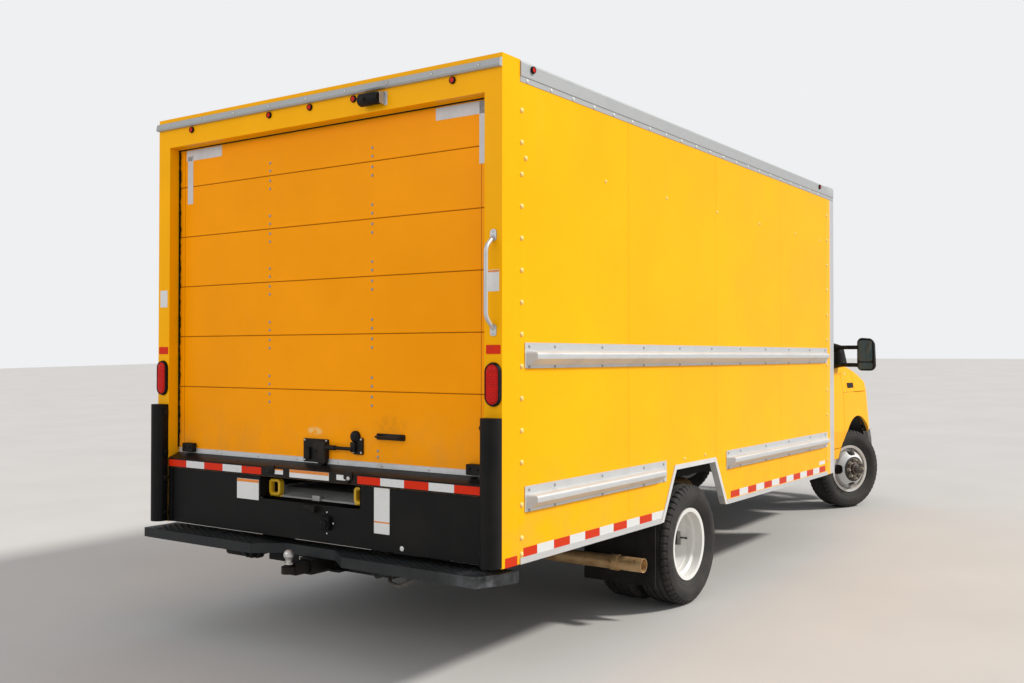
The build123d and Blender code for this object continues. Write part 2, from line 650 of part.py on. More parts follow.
# Front wall with rounded corner posts
with BuildPart() as wall_front:
    with BuildSketch(Plane.XY.offset(SILL_BOTTOM)):
        with Locations((X_BOX_FRONT - FRONT_POST_WIDTH / 2, 0)):
            Rectangle(FRONT_POST_WIDTH, BOX_WIDTH)
        with Locations((X_BOX_FRONT - FRONT_POST_WIDTH / 2 - WALL_THICK / 2, 0)):
            Rectangle(FRONT_POST_WIDTH - WALL_THICK, BOX_WIDTH - 2 * FRONT_CORNER_RADIUS, mode=Mode.SUBTRACT)
    extrude(amount=ROOF_TOP - SILL_BOTTOM)
    for side, sign in sides():
        # the posts run down past the wall to the skirt's foot
        inner_y = sign * (HALF_BOX - FRONT_CORNER_RADIUS)
        box_between(WALL_FRONT, X_BOX_FRONT, inner_y, sign * HALF_BOX, SKIRT_BOTTOM, SILL_BOTTOM)
    corners = wall_front.edges().filter_by(Axis.Z).group_by(Axis.X)[-1]
    outermost = [edge for edge in corners if abs(edge.center().Y) > HALF_BOX - 1]
    # a cap as deep as its own rounding joins the posts over the sheet
    box_between(CAP_BACK, X_BOX_FRONT - WALL_THICK, -HALF_BOX, HALF_BOX, ROOF_TOP - FRONT_CORNER_RADIUS, ROOF_TOP)
    top_edge = wall_front.edges().filter_by(Axis.Y).group_by(Axis.Z)[-1].sort_by(Axis.X)[-1]
    fillet([*outermost, top_edge], FRONT_CORNER_RADIUS - 4)
keep(wall_front, "wall_front")

# Roof sheet, the rails along its sides and the drip rail over the door
with BuildPart() as roof:
    rail_end = HALF_BOX - ROOF_RAIL_WIDTH - SEAT
    box_between(X_FRAME_FRONT + SEAT, WALL_FRONT - SEAT, -rail_end, rail_end, ROOF_TOP - ROOF_THICK, ROOF_TOP - 4)
keep(roof, "roof")

DRIP_TOP = ROOF_TOP - 20
with BuildPart() as roof_rails:
    for side, sign in sides():
        foot = ROOF_TOP - TOP_RAIL_HEIGHT
        inner_y, edge_y = sign * (HALF_BOX - ROOF_RAIL_WIDTH), sign * (HALF_BOX - WALL_THICK)
        face_y, foot_y = sign * (HALF_BOX + 6), sign * (HALF_BOX + 2)
        with BuildSketch(Plane.YZ.offset(X_FRAME_FRONT + SEAT)):
            with BuildLine():
                Line((inner_y, ROOF_TOP - ROOF_THICK), (inner_y, ROOF_TOP))
                Line((inner_y, ROOF_TOP), (face_y - sign * 14, ROOF_TOP))
                RadiusArc((face_y - sign * 14, ROOF_TOP), (face_y, ROOF_TOP - 14), sign * 14)
                Polyline(
                    (face_y, ROOF_TOP - 14),
                    (face_y, foot + TOP_RAIL_FOOT),
                    (foot_y, foot + TOP_RAIL_FOOT - 4),
                    (foot_y, foot),
                    (edge_y, foot),
                    (edge_y, ROOF_TOP - ROOF_THICK),
                    (inner_y, ROOF_TOP - ROOF_THICK),
                )
            make_face()
        extrude(amount=WALL_FRONT - X_FRAME_FRONT - 2 * SEAT)
    with BuildSketch(Plane.XZ.offset(-HALF_BOX)):
        with BuildLine():
            back = X_BOX_REAR - SEAT
            Polyline(
                (back, DRIP_TOP),
                (back - 16, DRIP_TOP - 6),
                (back - 22, DRIP_TOP - 34),
                (back - 16, DRIP_TOP - 42),
                (back, DRIP_TOP - 42),
                close=True,
            )
        make_face()
    extrude(amount=BOX_WIDTH)
keep(roof_rails, "roof_rails")

# Rear frame: posts, header and sill round the doorway
with BuildPart() as rear_frame:
    box_between(X_BOX_REAR, X_FRAME_FRONT, -HALF_BOX, HALF_BOX, HEADER_BOTTOM, ROOF_TOP)
    for side, sign in sides():
        inner_y, outer_y = sign * (HALF_BOX - POST_WIDTH), sign * HALF_BOX
        box_between(X_BOX_REAR, X_FRAME_FRONT, inner_y, outer_y, SKIRT_BOTTOM, HEADER_BOTTOM)
    # the sill's top slopes up to the deck
    with BuildSketch(Plane.XZ.offset(-HALF_BOX)):
        Polygon(
            (X_BOX_REAR, SLOT_TOP + SEAT),
            (X_BOX_REAR, DECK_TOP - SILL_FALL),
            (X_BOX_REAR + SILL_SLOPE, DECK_TOP),
            (X_FRAME_FRONT, DECK_TOP),
            (X_FRAME_FRONT, SLOT_TOP + SEAT),
            align=None,
        )
    extrude(amount=BOX_WIDTH)
keep(rear_frame, "rear_frame")

# Apron below the sill with the ramp's slot, and the rounded guards on the posts
with BuildPart() as apron_guards:
    reach = HALF_BOX - POST_WIDTH - SEAT
    slot = RAMP_WIDTH / 2 + SLOT_GAP
    face = X_BOX_REAR + 6
    box_between(face, face + 8, -reach, reach, SKIRT_BOTTOM + 3, SLOT_TOP)
    box_between(face - 1, face + 9, -slot, slot, RAMP_BOTTOM - SLOT_GAP, SLOT_TOP + 1, mode=Mode.SUBTRACT)
    for side, sign in sides():
        # angles that tie the apron to the posts
        near, far = sign * (reach - 34), sign * reach
        box_between(face - 5, face, near, far, SKIRT_BOTTOM + 3, SLOT_TOP - 6)
        guard_y = sign * (HALF_BOX - GUARD_RADIUS)
        back = X_BOX_REAR - SEAT
        flat = GUARD_REACH - GUARD_RADIUS
        with BuildSketch(Plane.XY.offset(GUARD_BOTTOM)):
            with Locations((back - flat, guard_y)):
                Circle(GUARD_RADIUS)
            with Locations((back, guard_y)):
                Rectangle(2 * flat, 2 * GUARD_RADIUS)
            with Locations((back + GUARD_RADIUS, guard_y)):
                Rectangle(2 * GUARD_RADIUS, 3 * GUARD_RADIUS, mode=Mode.SUBTRACT)
        extrude(amount=GUARD_TOP - GUARD_BOTTOM)
keep(apron_guards, "apron_guards")

# Ramp: deck plate between two side rails with a tapered lip and two lifting loops
RAMP_REAR = X_BOX_REAR + RAMP_SETBACK
with BuildPart() as ramp:
    half = RAMP_WIDTH / 2
    rail_top = RAMP_BOTTOM + RAMP_RAIL_HEIGHT
    deck_low = rail_top - 14 - RAMP_PLATE
    box_between(RAMP_REAR + RAMP_LIP, RAMP_REAR + RAMP_LENGTH, -half, half, deck_low, deck_low + RAMP_PLATE)
    with BuildSketch(Plane.XZ.offset(-half)):
        Polygon(
            (RAMP_REAR, RAMP_BOTTOM),
            (RAMP_REAR + RAMP_LIP, deck_low),
            (RAMP_REAR + RAMP_LIP, deck_low + RAMP_PLATE),
            (RAMP_REAR, RAMP_BOTTOM + 8),
            align=None,
        )
    extrude(amount=RAMP_WIDTH)
    for side, sign in sides():
        outer_y = sign * half
        inner_y = outer_y - sign * RAMP_RAIL_WIDTH
        box_between(RAMP_REAR + RAMP_LIP - 20, RAMP_REAR + RAMP_LENGTH, outer_y, inner_y, RAMP_BOTTOM, rail_top)
        with BuildSketch(Plane.YZ.offset(RAMP_REAR + 4)):
            with Locations((sign * (half - LOOP_SIZE / 2), RAMP_BOTTOM + 6 + LOOP_SIZE / 2)):
                RectangleRounded(LOOP_SIZE, LOOP_SIZE, 20)
                RectangleRounded(LOOP_SIZE - 2 * LOOP_BAR, LOOP_SIZE - 2 * LOOP_BAR, 8, mode=Mode.SUBTRACT)
        extrude(amount=LOOP_BAR)
    box_between(RAMP_REAR - 12, RAMP_REAR + 8, -26, 26, RAMP_BOTTOM, RAMP_BOTTOM + 26)
keep(ramp, "ramp")

# Roll-up door: one curtain with V grooves between its panels
DOOR_X = X_BOX_REAR + DOOR_SETBACK
DOOR_HALF = HALF_BOX - POST_WIDTH - CLEAR
with BuildPart() as rollup_door:
    low, high = DECK_TOP + SEAT, HEADER_BOTTOM - SEAT
    panels = int((high - low - DOOR_BOTTOM_PANEL) / DOOR_PANEL) + 1
    with BuildSketch(Plane.XZ.offset(-DOOR_HALF)):
        with BuildLine():
            profile = [(DOOR_X + DOOR_THICK, low), (DOOR_X, low)]
            for number in range(panels):
                z = low + DOOR_BOTTOM_PANEL + number * DOOR_PANEL
                profile += [(DOOR_X, z - PANEL_GROOVE), (DOOR_X + PANEL_GROOVE, z), (DOOR_X, z + PANEL_GROOVE)]
            profile += [(DOOR_X, high), (DOOR_X + DOOR_THICK, high)]
            Polyline(*profile, close=True)
        make_face()
    extrude(amount=2 * DOOR_HALF)
keep(rollup_door, "rollup_door")

# Lock plate with its bolt and cam, and the pull handle
LOCK_Y = 5.0
HANDLE_Y = -492.0
with BuildPart() as door_lock:
    face = DOOR_X - SEAT
    box_between(face - 10, face, LOCK_Y - 88, LOCK_Y + 88, DECK_TOP + 4, DECK_TOP + 127)
    box_between(face - 34, face - 10, LOCK_Y - 75, LOCK_Y - 15, DECK_TOP + 8, DECK_TOP + 100)
    box_between(face - 24, face - 10, LOCK_Y - 322, LOCK_Y - 15, DECK_TOP + 74, DECK_TOP + 104)
    box_between(face - 24, face, LOCK_Y - 322, LOCK_Y - 255, DECK_TOP + 66, DECK_TOP + 140)
    with BuildSketch(Plane.YZ.offset(face)):
        with Locations((LOCK_Y - 270, DECK_TOP + 148)):
            Circle(30)
    extrude(amount=-30)
    for end in (-1, 1):
        y = HANDLE_Y + end * 84
        box_between(face - 26, face, y - 12, y + 12, DECK_TOP + 143, DECK_TOP + 167)
    box_between(face - 36, face - 26, HANDLE_Y - 90, HANDLE_Y + 90, DECK_TOP + 140, DECK_TOP + 170)
keep(door_lock, "door_lock")


# Side rails: flanged rub rails with a bulge, and flat foot rails along the skirts
def rub_section(sign, low):
    """Section of a rub rail, set out from the body's side."""
    wall = sign * (HALF_BOX + SEAT)
    high = low + RUB_HEIGHT

    def at(out, z):
        return (wall + sign * out, z)

    ledge_z = high - RUB_LEDGE - 5
    ledge = at(RUB_BULGE - 13, ledge_z)
    with BuildSketch(mode=Mode.PRIVATE) as section:
        with BuildLine():
            Polyline(at(0, low), at(0, high), at(RUB_FLANGE, high), at(RUB_FLANGE, high - RUB_LEDGE))
            Line(at(RUB_FLANGE, high - RUB_LEDGE), ledge)
            ThreePointArc(ledge, at(RUB_BULGE - 4, ledge_z - 5), at(RUB_BULGE, ledge_z - 14))
            Line(at(RUB_BULGE, ledge_z - 14), at(RUB_BULGE - 2, low + RUB_KNEE))
            Line(at(RUB_BULGE - 2, low + RUB_KNEE), at(RUB_FLANGE, low + RUB_FOOT))
            Polyline(at(RUB_FLANGE, low + RUB_FOOT), at(RUB_FLANGE, low), at(0, low))
        make_face()
    return section.sketch


SKIRT_RUNS = (
    (X_FRAME_FRONT + SEAT, X_REAR_AXLE + ARCH_FOOT_REAR - ARCH_TRIM),
    (X_REAR_AXLE + ARCH_FOOT_FRONT + ARCH_TRIM, WALL_FRONT - SEAT),
)
RUB_REAR = X_FRAME_FRONT + RUB_END_GAP
RUB_FRONT = WALL_FRONT - RUB_FRONT_GAP
RUB_RUNS = (
    # rear end, front end, foot
    (RUB_REAR, RUB_FRONT, RUB_MID),
    (RUB_REAR, X_REAR_AXLE + ARCH_FOOT_REAR + RUB_END_GAP, RUB_LOW),
    (X_REAR_AXLE + ARCH_FOOT_FRONT + 13, RUB_FRONT, RUB_LOW - 8),
)
with BuildPart() as side_rails:
    for side, sign in sides():
        for rear, front, low in RUB_RUNS:
            with BuildSketch(Plane.YZ.offset(rear)):
                add(rub_section(sign, low))
            extrude(amount=front - rear)
        near, far = sign * (HALF_BOX + SEAT), sign * (HALF_BOX + SEAT + SKIRT_SHEET)
        for x0, x1 in SKIRT_RUNS:
            box_between(x0, x1, near, far, SKIRT_BOTTOM - 2, SKIRT_RAIL_TOP)
keep(side_rails, "side_rails")

# Step bumper: bent plate with a turned-down edge, on two brackets under the frame
def step_outline(inset):
    rear, inner = X_BOX_REAR - STEP_REAR + inset, X_BOX_REAR + STEP_INNER - inset
    half = HALF_BOX - inset
    right = [
        (inner, -half),
        (rear + STEP_CORNER_X, -half),
        (rear, -half + STEP_CORNER_Y),
        (rear, -NOTCH_HALF_OUT),
        (rear + NOTCH_DEPTH, -NOTCH_HALF_IN),
    ]
    return right + [(x, -y) for x, y in reversed(right)]


with BuildPart() as step_bumper:
    with BuildSketch(Plane.XY.offset(STEP_TOP - STEP_HEIGHT)):
        Polygon(*step_outline(0), align=None)
    extrude(amount=STEP_HEIGHT)
    with BuildSketch(Plane.XY.offset(STEP_TOP - STEP_HEIGHT)):
        Polygon(*step_outline(STEP_SHEET), align=None)
    extrude(amount=STEP_HEIGHT - STEP_SHEET, mode=Mode.SUBTRACT)
    for side, sign in sides():
        y = sign * (RAIL_OUTER_Y + 24)
        with BuildSketch(Plane.XZ.offset(-y - 6)):
            Polygon(
                (X_BOX_REAR - 40, STEP_TOP - STEP_SHEET),
                (X_BOX_REAR - 40, STEP_TOP - STEP_HEIGHT - 4),
                (X_BOX_REAR + 10, STEP_TOP - STEP_HEIGHT - 52),
                (X_BOX_REAR + 150, STEP_TOP - STEP_HEIGHT - 52),
                (RAIL_REAR + 240, RAIL_BOTTOM),
                (RAIL_REAR + 240, RAIL_TOP - 30),
                (RAIL_REAR + 20, RAIL_TOP - 30),
                (X_BOX_REAR + STEP_INNER - STEP_SHEET, STEP_TOP - STEP_SHEET),
                align=None,
            )
        extrude(amount=12)
keep(step_bumper, "step_bumper")

# Hitch: cross tube on two plates, receiver, ball mount and ball, with two chain plates
BALL_X = X_REAR_AXLE - REAR_OVERHANG + BALL_SETBACK
HITCH_X = X_BOX_REAR + 150
HITCH_LOW = MOUNT_TOP + 8 - HITCH_TUBE
with BuildPart() as tow_hitch:
    plate_y = RAIL_OUTER_Y + SEAT
    box_between(HITCH_X, HITCH_X + HITCH_TUBE, -plate_y, plate_y, HITCH_LOW, HITCH_LOW + HITCH_TUBE)
    for side, sign in sides():
        near, far = sign * plate_y, sign * (plate_y + 9)
        box_between(HITCH_X, HITCH_X + 180, near, far, HITCH_LOW, RAIL_TOP - 60)
    middle = MOUNT_TOP - MOUNT_THICK / 2
    with BuildSketch(Plane.YZ.offset(X_BOX_REAR - 10)):
        with Locations((0, middle)):
            Rectangle(RECEIVER_SIZE, RECEIVER_SIZE)
            Rectangle(RECEIVER_BORE, RECEIVER_BORE, mode=Mode.SUBTRACT)
    extrude(amount=HITCH_X - X_BOX_REAR + 10)
    box_between(BALL_X + 20, HITCH_X, -29, 29, middle - 29, middle + 29)
    with BuildSketch(Plane.XY.offset(MOUNT_TOP - MOUNT_THICK)):
        with Locations((BALL_X, 0)):
            Circle(BALL_SETBACK)
        with Locations((BALL_X + 30, 0)):
            Rectangle(60, 58)
    extrude(amount=MOUNT_THICK)
    with BuildSketch(Plane.XY.offset(MOUNT_TOP)):
        with Locations((BALL_X, 0)):
            Circle(22)
    extrude(amount=10)
    with BuildSketch(Plane.XY.offset(MOUNT_TOP)):
        with Locations((BALL_X, 0)):
            Circle(14)
    extrude(amount=BALL_CENTRE_Z - MOUNT_TOP)
    with Locations((BALL_X, 0, BALL_CENTRE_Z)):
        Sphere(BALL_RADIUS)
    with BuildSketch(Plane.XY.offset(HITCH_LOW + 4)):
        for side, sign in sides():
            with Locations((HITCH_X - 31, sign * CHAIN_HOLE_Y)):
                Rectangle(64, 66)
            with Locations((HITCH_X - 34, sign * CHAIN_HOLE_Y)):
                Circle(CHAIN_HOLE_RADIUS, mode=Mode.SUBTRACT)
    extrude(amount=CHAIN_PLATE)
keep(tow_hitch, "tow_hitch")

# Grab handle on the right post, camera on the header
GRAB_LOW, GRAB_HIGH = 1600.0, 2005.0
GRAB_REACH = 62.0
CAMERA_Y = -470.0
CAMERA_HALF = 65.0
with BuildPart() as rear_fittings:
    y = -HALF_BOX + 46
    with BuildLine() as grip:
        FilletPolyline(
            (X_BOX_REAR - 8, y, GRAB_LOW),
            (X_BOX_REAR - GRAB_REACH, y, GRAB_LOW + 40),
            (X_BOX_REAR - GRAB_REACH, y, GRAB_HIGH - 40),
            (X_BOX_REAR - 8, y, GRAB_HIGH),
            radius=24,
        )
    with BuildSketch(grip.line ^ 0):
        Circle(10)
    sweep()
    for z in (GRAB_LOW, GRAB_HIGH):
        box_between(X_BOX_REAR - 10, X_BOX_REAR - SEAT, y - 16, y + 16, z - 26, z + 26)
    camera_z = ROOF_TOP - 106
    box_between(X_BOX_REAR - 70, X_BOX_REAR - SEAT, CAMERA_Y - CAMERA_HALF + 8, CAMERA_Y + CAMERA_HALF - 8, camera_z + 28, camera_z + 34)
    with BuildSketch(Plane.XZ.offset(-CAMERA_Y - CAMERA_HALF)):
        with Locations((X_BOX_REAR - 50, camera_z)):
            Circle(32)
    extrude(amount=2 * CAMERA_HALF)
keep(rear_fittings, "rear_fittings")


# Cab. Lofts give the outer skin; the same lofts drawn in by a wall's thickness give the inner one.
def cab_loft(levels, inset):
    """Loft through plan outlines, each drawn in all round by inset."""
    rear = X_CAB_BACK + inset
    with BuildPart(mode=Mode.PRIVATE) as block:
        for z, half, turn, bend_half, bend_x, nose in levels:
            start = (X_FRONT_AXLE + turn, half - inset)
            bend = (X_FRONT_AXLE + bend_x - inset * 0.75, bend_half - inset * 0.7)
            with BuildSketch(Plane.XY.offset(z)):
                with BuildLine():
                    Line((rear, -start[1]), (rear, start[1]))
                    Line((rear, start[1]), start)
                    TangentArc(start, bend, tangent=(1, 0))
                    ThreePointArc(bend, (X_FRONT_AXLE + nose - inset, 0), (bend[0], -bend[1]))
                    TangentArc((start[0], -start[1]), (bend[0], -bend[1]), tangent=(1, 0))
                    Line((rear, -start[1]), (start[0], -start[1]))
                make_face()
        loft(ruled=True)
    return block.part


def above_hood(drop):
    """Everything above the crowned hood surface, lowered by drop."""
    width, fall = SHOULDER
    slope = 2 * HOOD_CROWN / HOOD_FLAT
    top = BELT + 600
    with BuildPart(mode=Mode.PRIVATE) as block:
        for x, z in HOOD_STATIONS:
            edge = (HOOD_FLAT, z - drop - HOOD_CROWN)
            end = (HOOD_FLAT + width, edge[1] - fall)
            with BuildSketch(Plane.YZ.offset(X_FRONT_AXLE + x)):
                with BuildLine():
                    ThreePointArc((-edge[0], edge[1]), (0, z - drop), edge)
                    TangentArc(edge, end, tangent=(1, -slope))
                    Polyline(end, (end[0], top), (-end[0], top), (-end[0], end[1]))
                    TangentArc((-edge[0], edge[1]), (-end[0], end[1]), tangent=(-1, -slope))
                make_face()
        loft()
    return block.part


def side_prism(points, y0=-WIDE, y1=WIDE):
    """Block between y0 and y1 with an outline in side view; x is measured from the front axle."""
    with BuildPart(mode=Mode.PRIVATE) as prism:
        with BuildSketch(Plane.XZ.offset(-y1)):
            Polygon(*[(X_FRONT_AXLE + x, z) for x, z in points], align=None)
        extrude(amount=y1 - y0)
    return prism.part


def side_block(x0, x1, z0, z1, y0=-WIDE, y1=WIDE):
    """Rectangular block; x is measured from the front axle."""
    return side_prism([(x0, z0), (x1, z0), (x1, z1), (x0, z1)], y0, y1)


def wheel_space(sign, radius):
    """Cylinder over one front wheel."""
    with BuildPart(mode=Mode.PRIVATE) as space:
        with BuildSketch(Plane.XZ.offset(-sign * LINER_INNER_Y)):
            with Locations((X_FRONT_AXLE + ARCH_SHIFT, ARCH_CENTRE_Z)):
                Circle(radius)
        extrude(amount=-sign * 600)
    return space.part


def door_edge(rear_x, sign):
    """Plan region ahead of a door's slanted rear edge, so that the door swings clear of its pillar."""
    reach = WIDE - DOOR_DEPTH_Y
    with BuildPart(mode=Mode.PRIVATE) as piece:
        with BuildSketch(Plane.XY.offset(500)):
            Polygon(
                (X_FRONT_AXLE + rear_x - DOOR_SLANT * (WIDE - 1010), sign * WIDE),
                (X_FRONT_AXLE + rear_x - DOOR_SLANT * (WIDE - 1010) + DOOR_SLANT * reach, sign * DOOR_DEPTH_Y),
                (X_FRONT_AXLE + 100, sign * DOOR_DEPTH_Y),
                (X_FRONT_AXLE + 100, sign * WIDE),
                align=None,
            )
        extrude(amount=1600)
    return piece.part


def door_outline(grow):
    """Side view of a door's opening, grown by a gap."""
    return [
        (DOOR_FRONT_X + grow, DOOR_SILL - grow),
        (DOOR_FRONT_X + grow, BELT + 30),
        (PILLAR_FOOT_X + 1.4 * grow, BELT + 30 + grow),
        (PILLAR_TOP_X + 1.4 * grow, DOOR_TOP + grow),
        (DOOR_REAR_X - 60, DOOR_TOP + grow),
        (DOOR_REAR_X - 60, DOOR_SILL - grow),
    ]


def window_outline(shrink):
    """Side view of a door's window: an upright edge at the mirror's foot, then along the pillar."""
    slope = (PILLAR_TOP_X - PILLAR_FOOT_X) / (DOOR_TOP - BELT - 30)
    high_x = PILLAR_FOOT_X + slope * (WINDOW_HIGH - BELT - 30) - WINDOW_FRAME
    rear = DOOR_REAR_X + WINDOW_REAR + shrink
    return [
        (SAIL_X - shrink, WINDOW_LOW + shrink),
        (SAIL_X - shrink, SAIL_TOP - shrink),
        (high_x - shrink, WINDOW_HIGH - shrink),
        (rear, WINDOW_HIGH - shrink),
        (rear, WINDOW_LOW + shrink),
    ]


def screen_space(shrink):
    """Windscreen opening in front view, as a block through the cab's face."""
    low, high = SCREEN_LOW + shrink, SCREEN_HIGH - shrink
    low_y, high_y = SCREEN_LOW_Y - shrink, SCREEN_HIGH_Y - shrink
    with BuildPart(mode=Mode.PRIVATE) as block:
        with BuildSketch(Plane.YZ.offset(X_FRONT_AXLE - 1100)):
            Polygon((-low_y, low), (low_y, low), (high_y, high), (-high_y, high), align=None)
        extrude(amount=1300)
    return block.part


def nose_block(y0, y1, z0, z1, shrink=0.0):
    with BuildPart(mode=Mode.PRIVATE) as block:
        near, far = X_FRONT_AXLE + 300, X_FRONT_AXLE + 800
        box_between(near, far, y0 + shrink, y1 - shrink, z0 + shrink, z1 - shrink)
    return block.part


def bumper_block(inset, z0, z1):
    """Front bumper's plan outline, drawn in by inset."""
    nose = (X_FRONT - inset, 0)
    bend = (X_FRONT - 52 - inset * 0.94, 773 - inset * 0.34)
    end = (X_FRONT - 390, BUMPER_HALF - inset)
    with BuildPart(mode=Mode.PRIVATE) as block:
        with BuildSketch(Plane.XY.offset(z0)):
            with BuildLine():
                ThreePointArc((bend[0], -bend[1]), nose, bend)
                TangentArc(end, bend, tangent=(1, 0))
                TangentArc((end[0], -end[1]), (bend[0], -bend[1]), tangent=(1, 0))
                Line(end, (end[0], -end[1]))
            make_face()
        extrude(amount=z1 - z0)
    return block.part


def lower_cab(inset, hood_drop):
    with BuildPart(mode=Mode.PRIVATE) as block:
        add(cab_loft(CAB_LEVELS, inset))
        add(above_hood(hood_drop), mode=Mode.SUBTRACT)
    return block.part


CABIN_TOP = GLASS_LEVELS[-1][0] - 40
GLASSHOUSE_OUTER = cab_loft(GLASS_LEVELS, 0)
GLASSHOUSE_INNER = cab_loft(GLASS_LEVELS, CAB_WALL)
LOWER_OUTER = lower_cab(0, 0)
LOWER_INNER = lower_cab(CAB_WALL, HOOD_THICK)

with BuildPart() as cab_block:
    add(LOWER_OUTER)
    add(GLASSHOUSE_OUTER)

# Cabin above the floor and behind the firewall, reaching forward under the screen
with BuildPart() as cabin_space:
    add(cab_loft(CAB_LEVELS, CAB_WALL))
    add(above_hood(CAB_WALL), mode=Mode.SUBTRACT)
    add(side_block(-1500, FIREWALL_X, CAB_FLOOR, 1500), mode=Mode.INTERSECT)
with BuildPart() as upper_space:
    add(GLASSHOUSE_INNER)
    add(side_block(-1500, 200, BELT - 20, CABIN_TOP), mode=Mode.INTERSECT)
with BuildPart() as engine_bay:
    add(LOWER_INNER)
    add(side_block(FIREWALL_X + FIREWALL_THICK, 900, 400, 1600), mode=Mode.INTERSECT)

# Skin alone, for the doors
with BuildPart() as door_skin:
    add(cab_block.part)
    add(cab_loft(CAB_LEVELS, CAB_WALL), mode=Mode.SUBTRACT)
    add(GLASSHOUSE_INNER, mode=Mode.SUBTRACT)
with BuildPart() as glass_skin:
    add(cab_loft(GLASS_LEVELS, GLASS_INSET))
    add(cab_loft(GLASS_LEVELS, GLASS_INSET + GLASS_THICK), mode=Mode.SUBTRACT)
with BuildPart() as nose_skin:
    add(cab_loft(CAB_LEVELS, 6))
    add(cab_loft(CAB_LEVELS, CAB_WALL - 12), mode=Mode.SUBTRACT)

HANDLE_Z = BELT - 97.0
for side, sign in sides():
    span = sorted((sign * DOOR_DEPTH_Y, sign * WIDE))
    with BuildPart() as door:
        add(door_skin.part)
        add(side_prism(door_outline(0), *span), mode=Mode.INTERSECT)
        add(door_edge(DOOR_REAR_X, sign), mode=Mode.INTERSECT)
        add(side_prism(window_outline(0), *span), mode=Mode.SUBTRACT)
        add(wheel_space(sign, ARCH_RADIUS + LINER_SHEET + CLEAR), mode=Mode.SUBTRACT)
        # pull handle
        near, far = sign * 916, sign * 952
        x = X_FRONT_AXLE + DOOR_REAR_X + 120
        box_between(x - 65, x + 65, near, far, HANDLE_Z - 17, HANDLE_Z + 17)
    keep(door, f"door_{side}")
    with BuildPart() as door_glass:
        add(glass_skin.part)
        add(side_prism(window_outline(SEAT), *span), mode=Mode.INTERSECT)
    keep(door_glass, f"door_glass_{side}")

with BuildPart() as hood:
    add(cab_block.part)
    add(engine_bay.part, mode=Mode.SUBTRACT)
    add(side_block(COWL_X, 900, HOOD_SEAM, 1600), mode=Mode.INTERSECT)
keep(hood, "hood")

with BuildPart() as windscreen:
    add(glass_skin.part)
    add(screen_space(SEAT), mode=Mode.INTERSECT)
keep(windscreen, "windscreen")

with BuildPart() as grille:
    add(nose_skin.part)
    add(nose_block(-GRILLE_HALF, GRILLE_HALF, GRILLE_LOW, GRILLE_HIGH, 2), mode=Mode.INTERSECT)
    pitch = (GRILLE_HIGH - GRILLE_LOW - 60) / GRILLE_BARS
    for number in range(GRILLE_BARS):
        z = GRILLE_LOW + 30 + (number + 0.5) * pitch
        for side, sign in sides():
            near, far = sorted((sign * 16, sign * (GRILLE_HALF - 28)))
            add(nose_block(near, far, z - pitch * 0.33, z + pitch * 0.33), mode=Mode.SUBTRACT)
keep(grille, "grille")

# Lamps: head, tail and marker
TAIL_LAMP_Y = HALF_BOX - 45
TAIL_LAMP_Z = 1355.0
MARKER_RADIUS = 13.0
MARKER_DEPTH = 9.0
REAR_MARKERS = (HALF_BOX - 288, 286.0, -11.0, -310.0, -HALF_BOX + 274)
FRONT_MARKERS = (HALF_BOX - 314, 300.0, 0.0, -300.0, -HALF_BOX + 314)
MARKER_Z = ROOF_TOP - 84
SIDE_MARKER_Z = ROOF_TOP - 30
with BuildPart() as lamps:
    add(nose_skin.part)
    with BuildPart(mode=Mode.INTERSECT):
        for side, sign in sides():
            near, far = sorted((sign * HEADLAMP_IN, sign * HEADLAMP_OUT))
            add(nose_block(near, far, HEADLAMP_LOW, HEADLAMP_HIGH, 2))
    for side, sign in sides():
        with BuildSketch(Plane.YZ.offset(X_BOX_REAR - SEAT)):
            with Locations((sign * TAIL_LAMP_Y, TAIL_LAMP_Z)):
                SlotOverall(185, 76, rotation=90)
        extrude(amount=-14)
        for x in (X_FRAME_FRONT + 92, WALL_FRONT - 190):
            with BuildSketch(Plane.XZ.offset(-sign * (HALF_BOX + 6 + SEAT))):
                with Locations((x, SIDE_MARKER_Z)):
                    Circle(MARKER_RADIUS)
            extrude(amount=-sign * MARKER_DEPTH)
    for y in REAR_MARKERS:
        with BuildSketch(Plane.YZ.offset(X_BOX_REAR - SEAT)):
            with Locations((y, MARKER_Z)):
                Circle(MARKER_RADIUS)
        extrude(amount=-MARKER_DEPTH)
    for y in FRONT_MARKERS:
        with BuildSketch(Plane.YZ.offset(X_BOX_FRONT + SEAT)):
            with Locations((y, SIDE_MARKER_Z)):
                Circle(MARKER_RADIUS)
        extrude(amount=MARKER_DEPTH)
keep(lamps, "lamps")

with BuildPart() as front_bumper:
    add(bumper_block(0, BUMPER_BOTTOM, BUMPER_TOP))
    add(bumper_block(BUMPER_SHEET, BUMPER_BOTTOM, BUMPER_TOP), mode=Mode.SUBTRACT)
    for side, sign in sides():
        add(wheel_space(sign, ARCH_RADIUS), mode=Mode.SUBTRACT)
    add(nose_block(-420, 420, BUMPER_BOTTOM + 50, BUMPER_BOTTOM + 110), mode=Mode.SUBTRACT)
keep(front_bumper, "front_bumper")

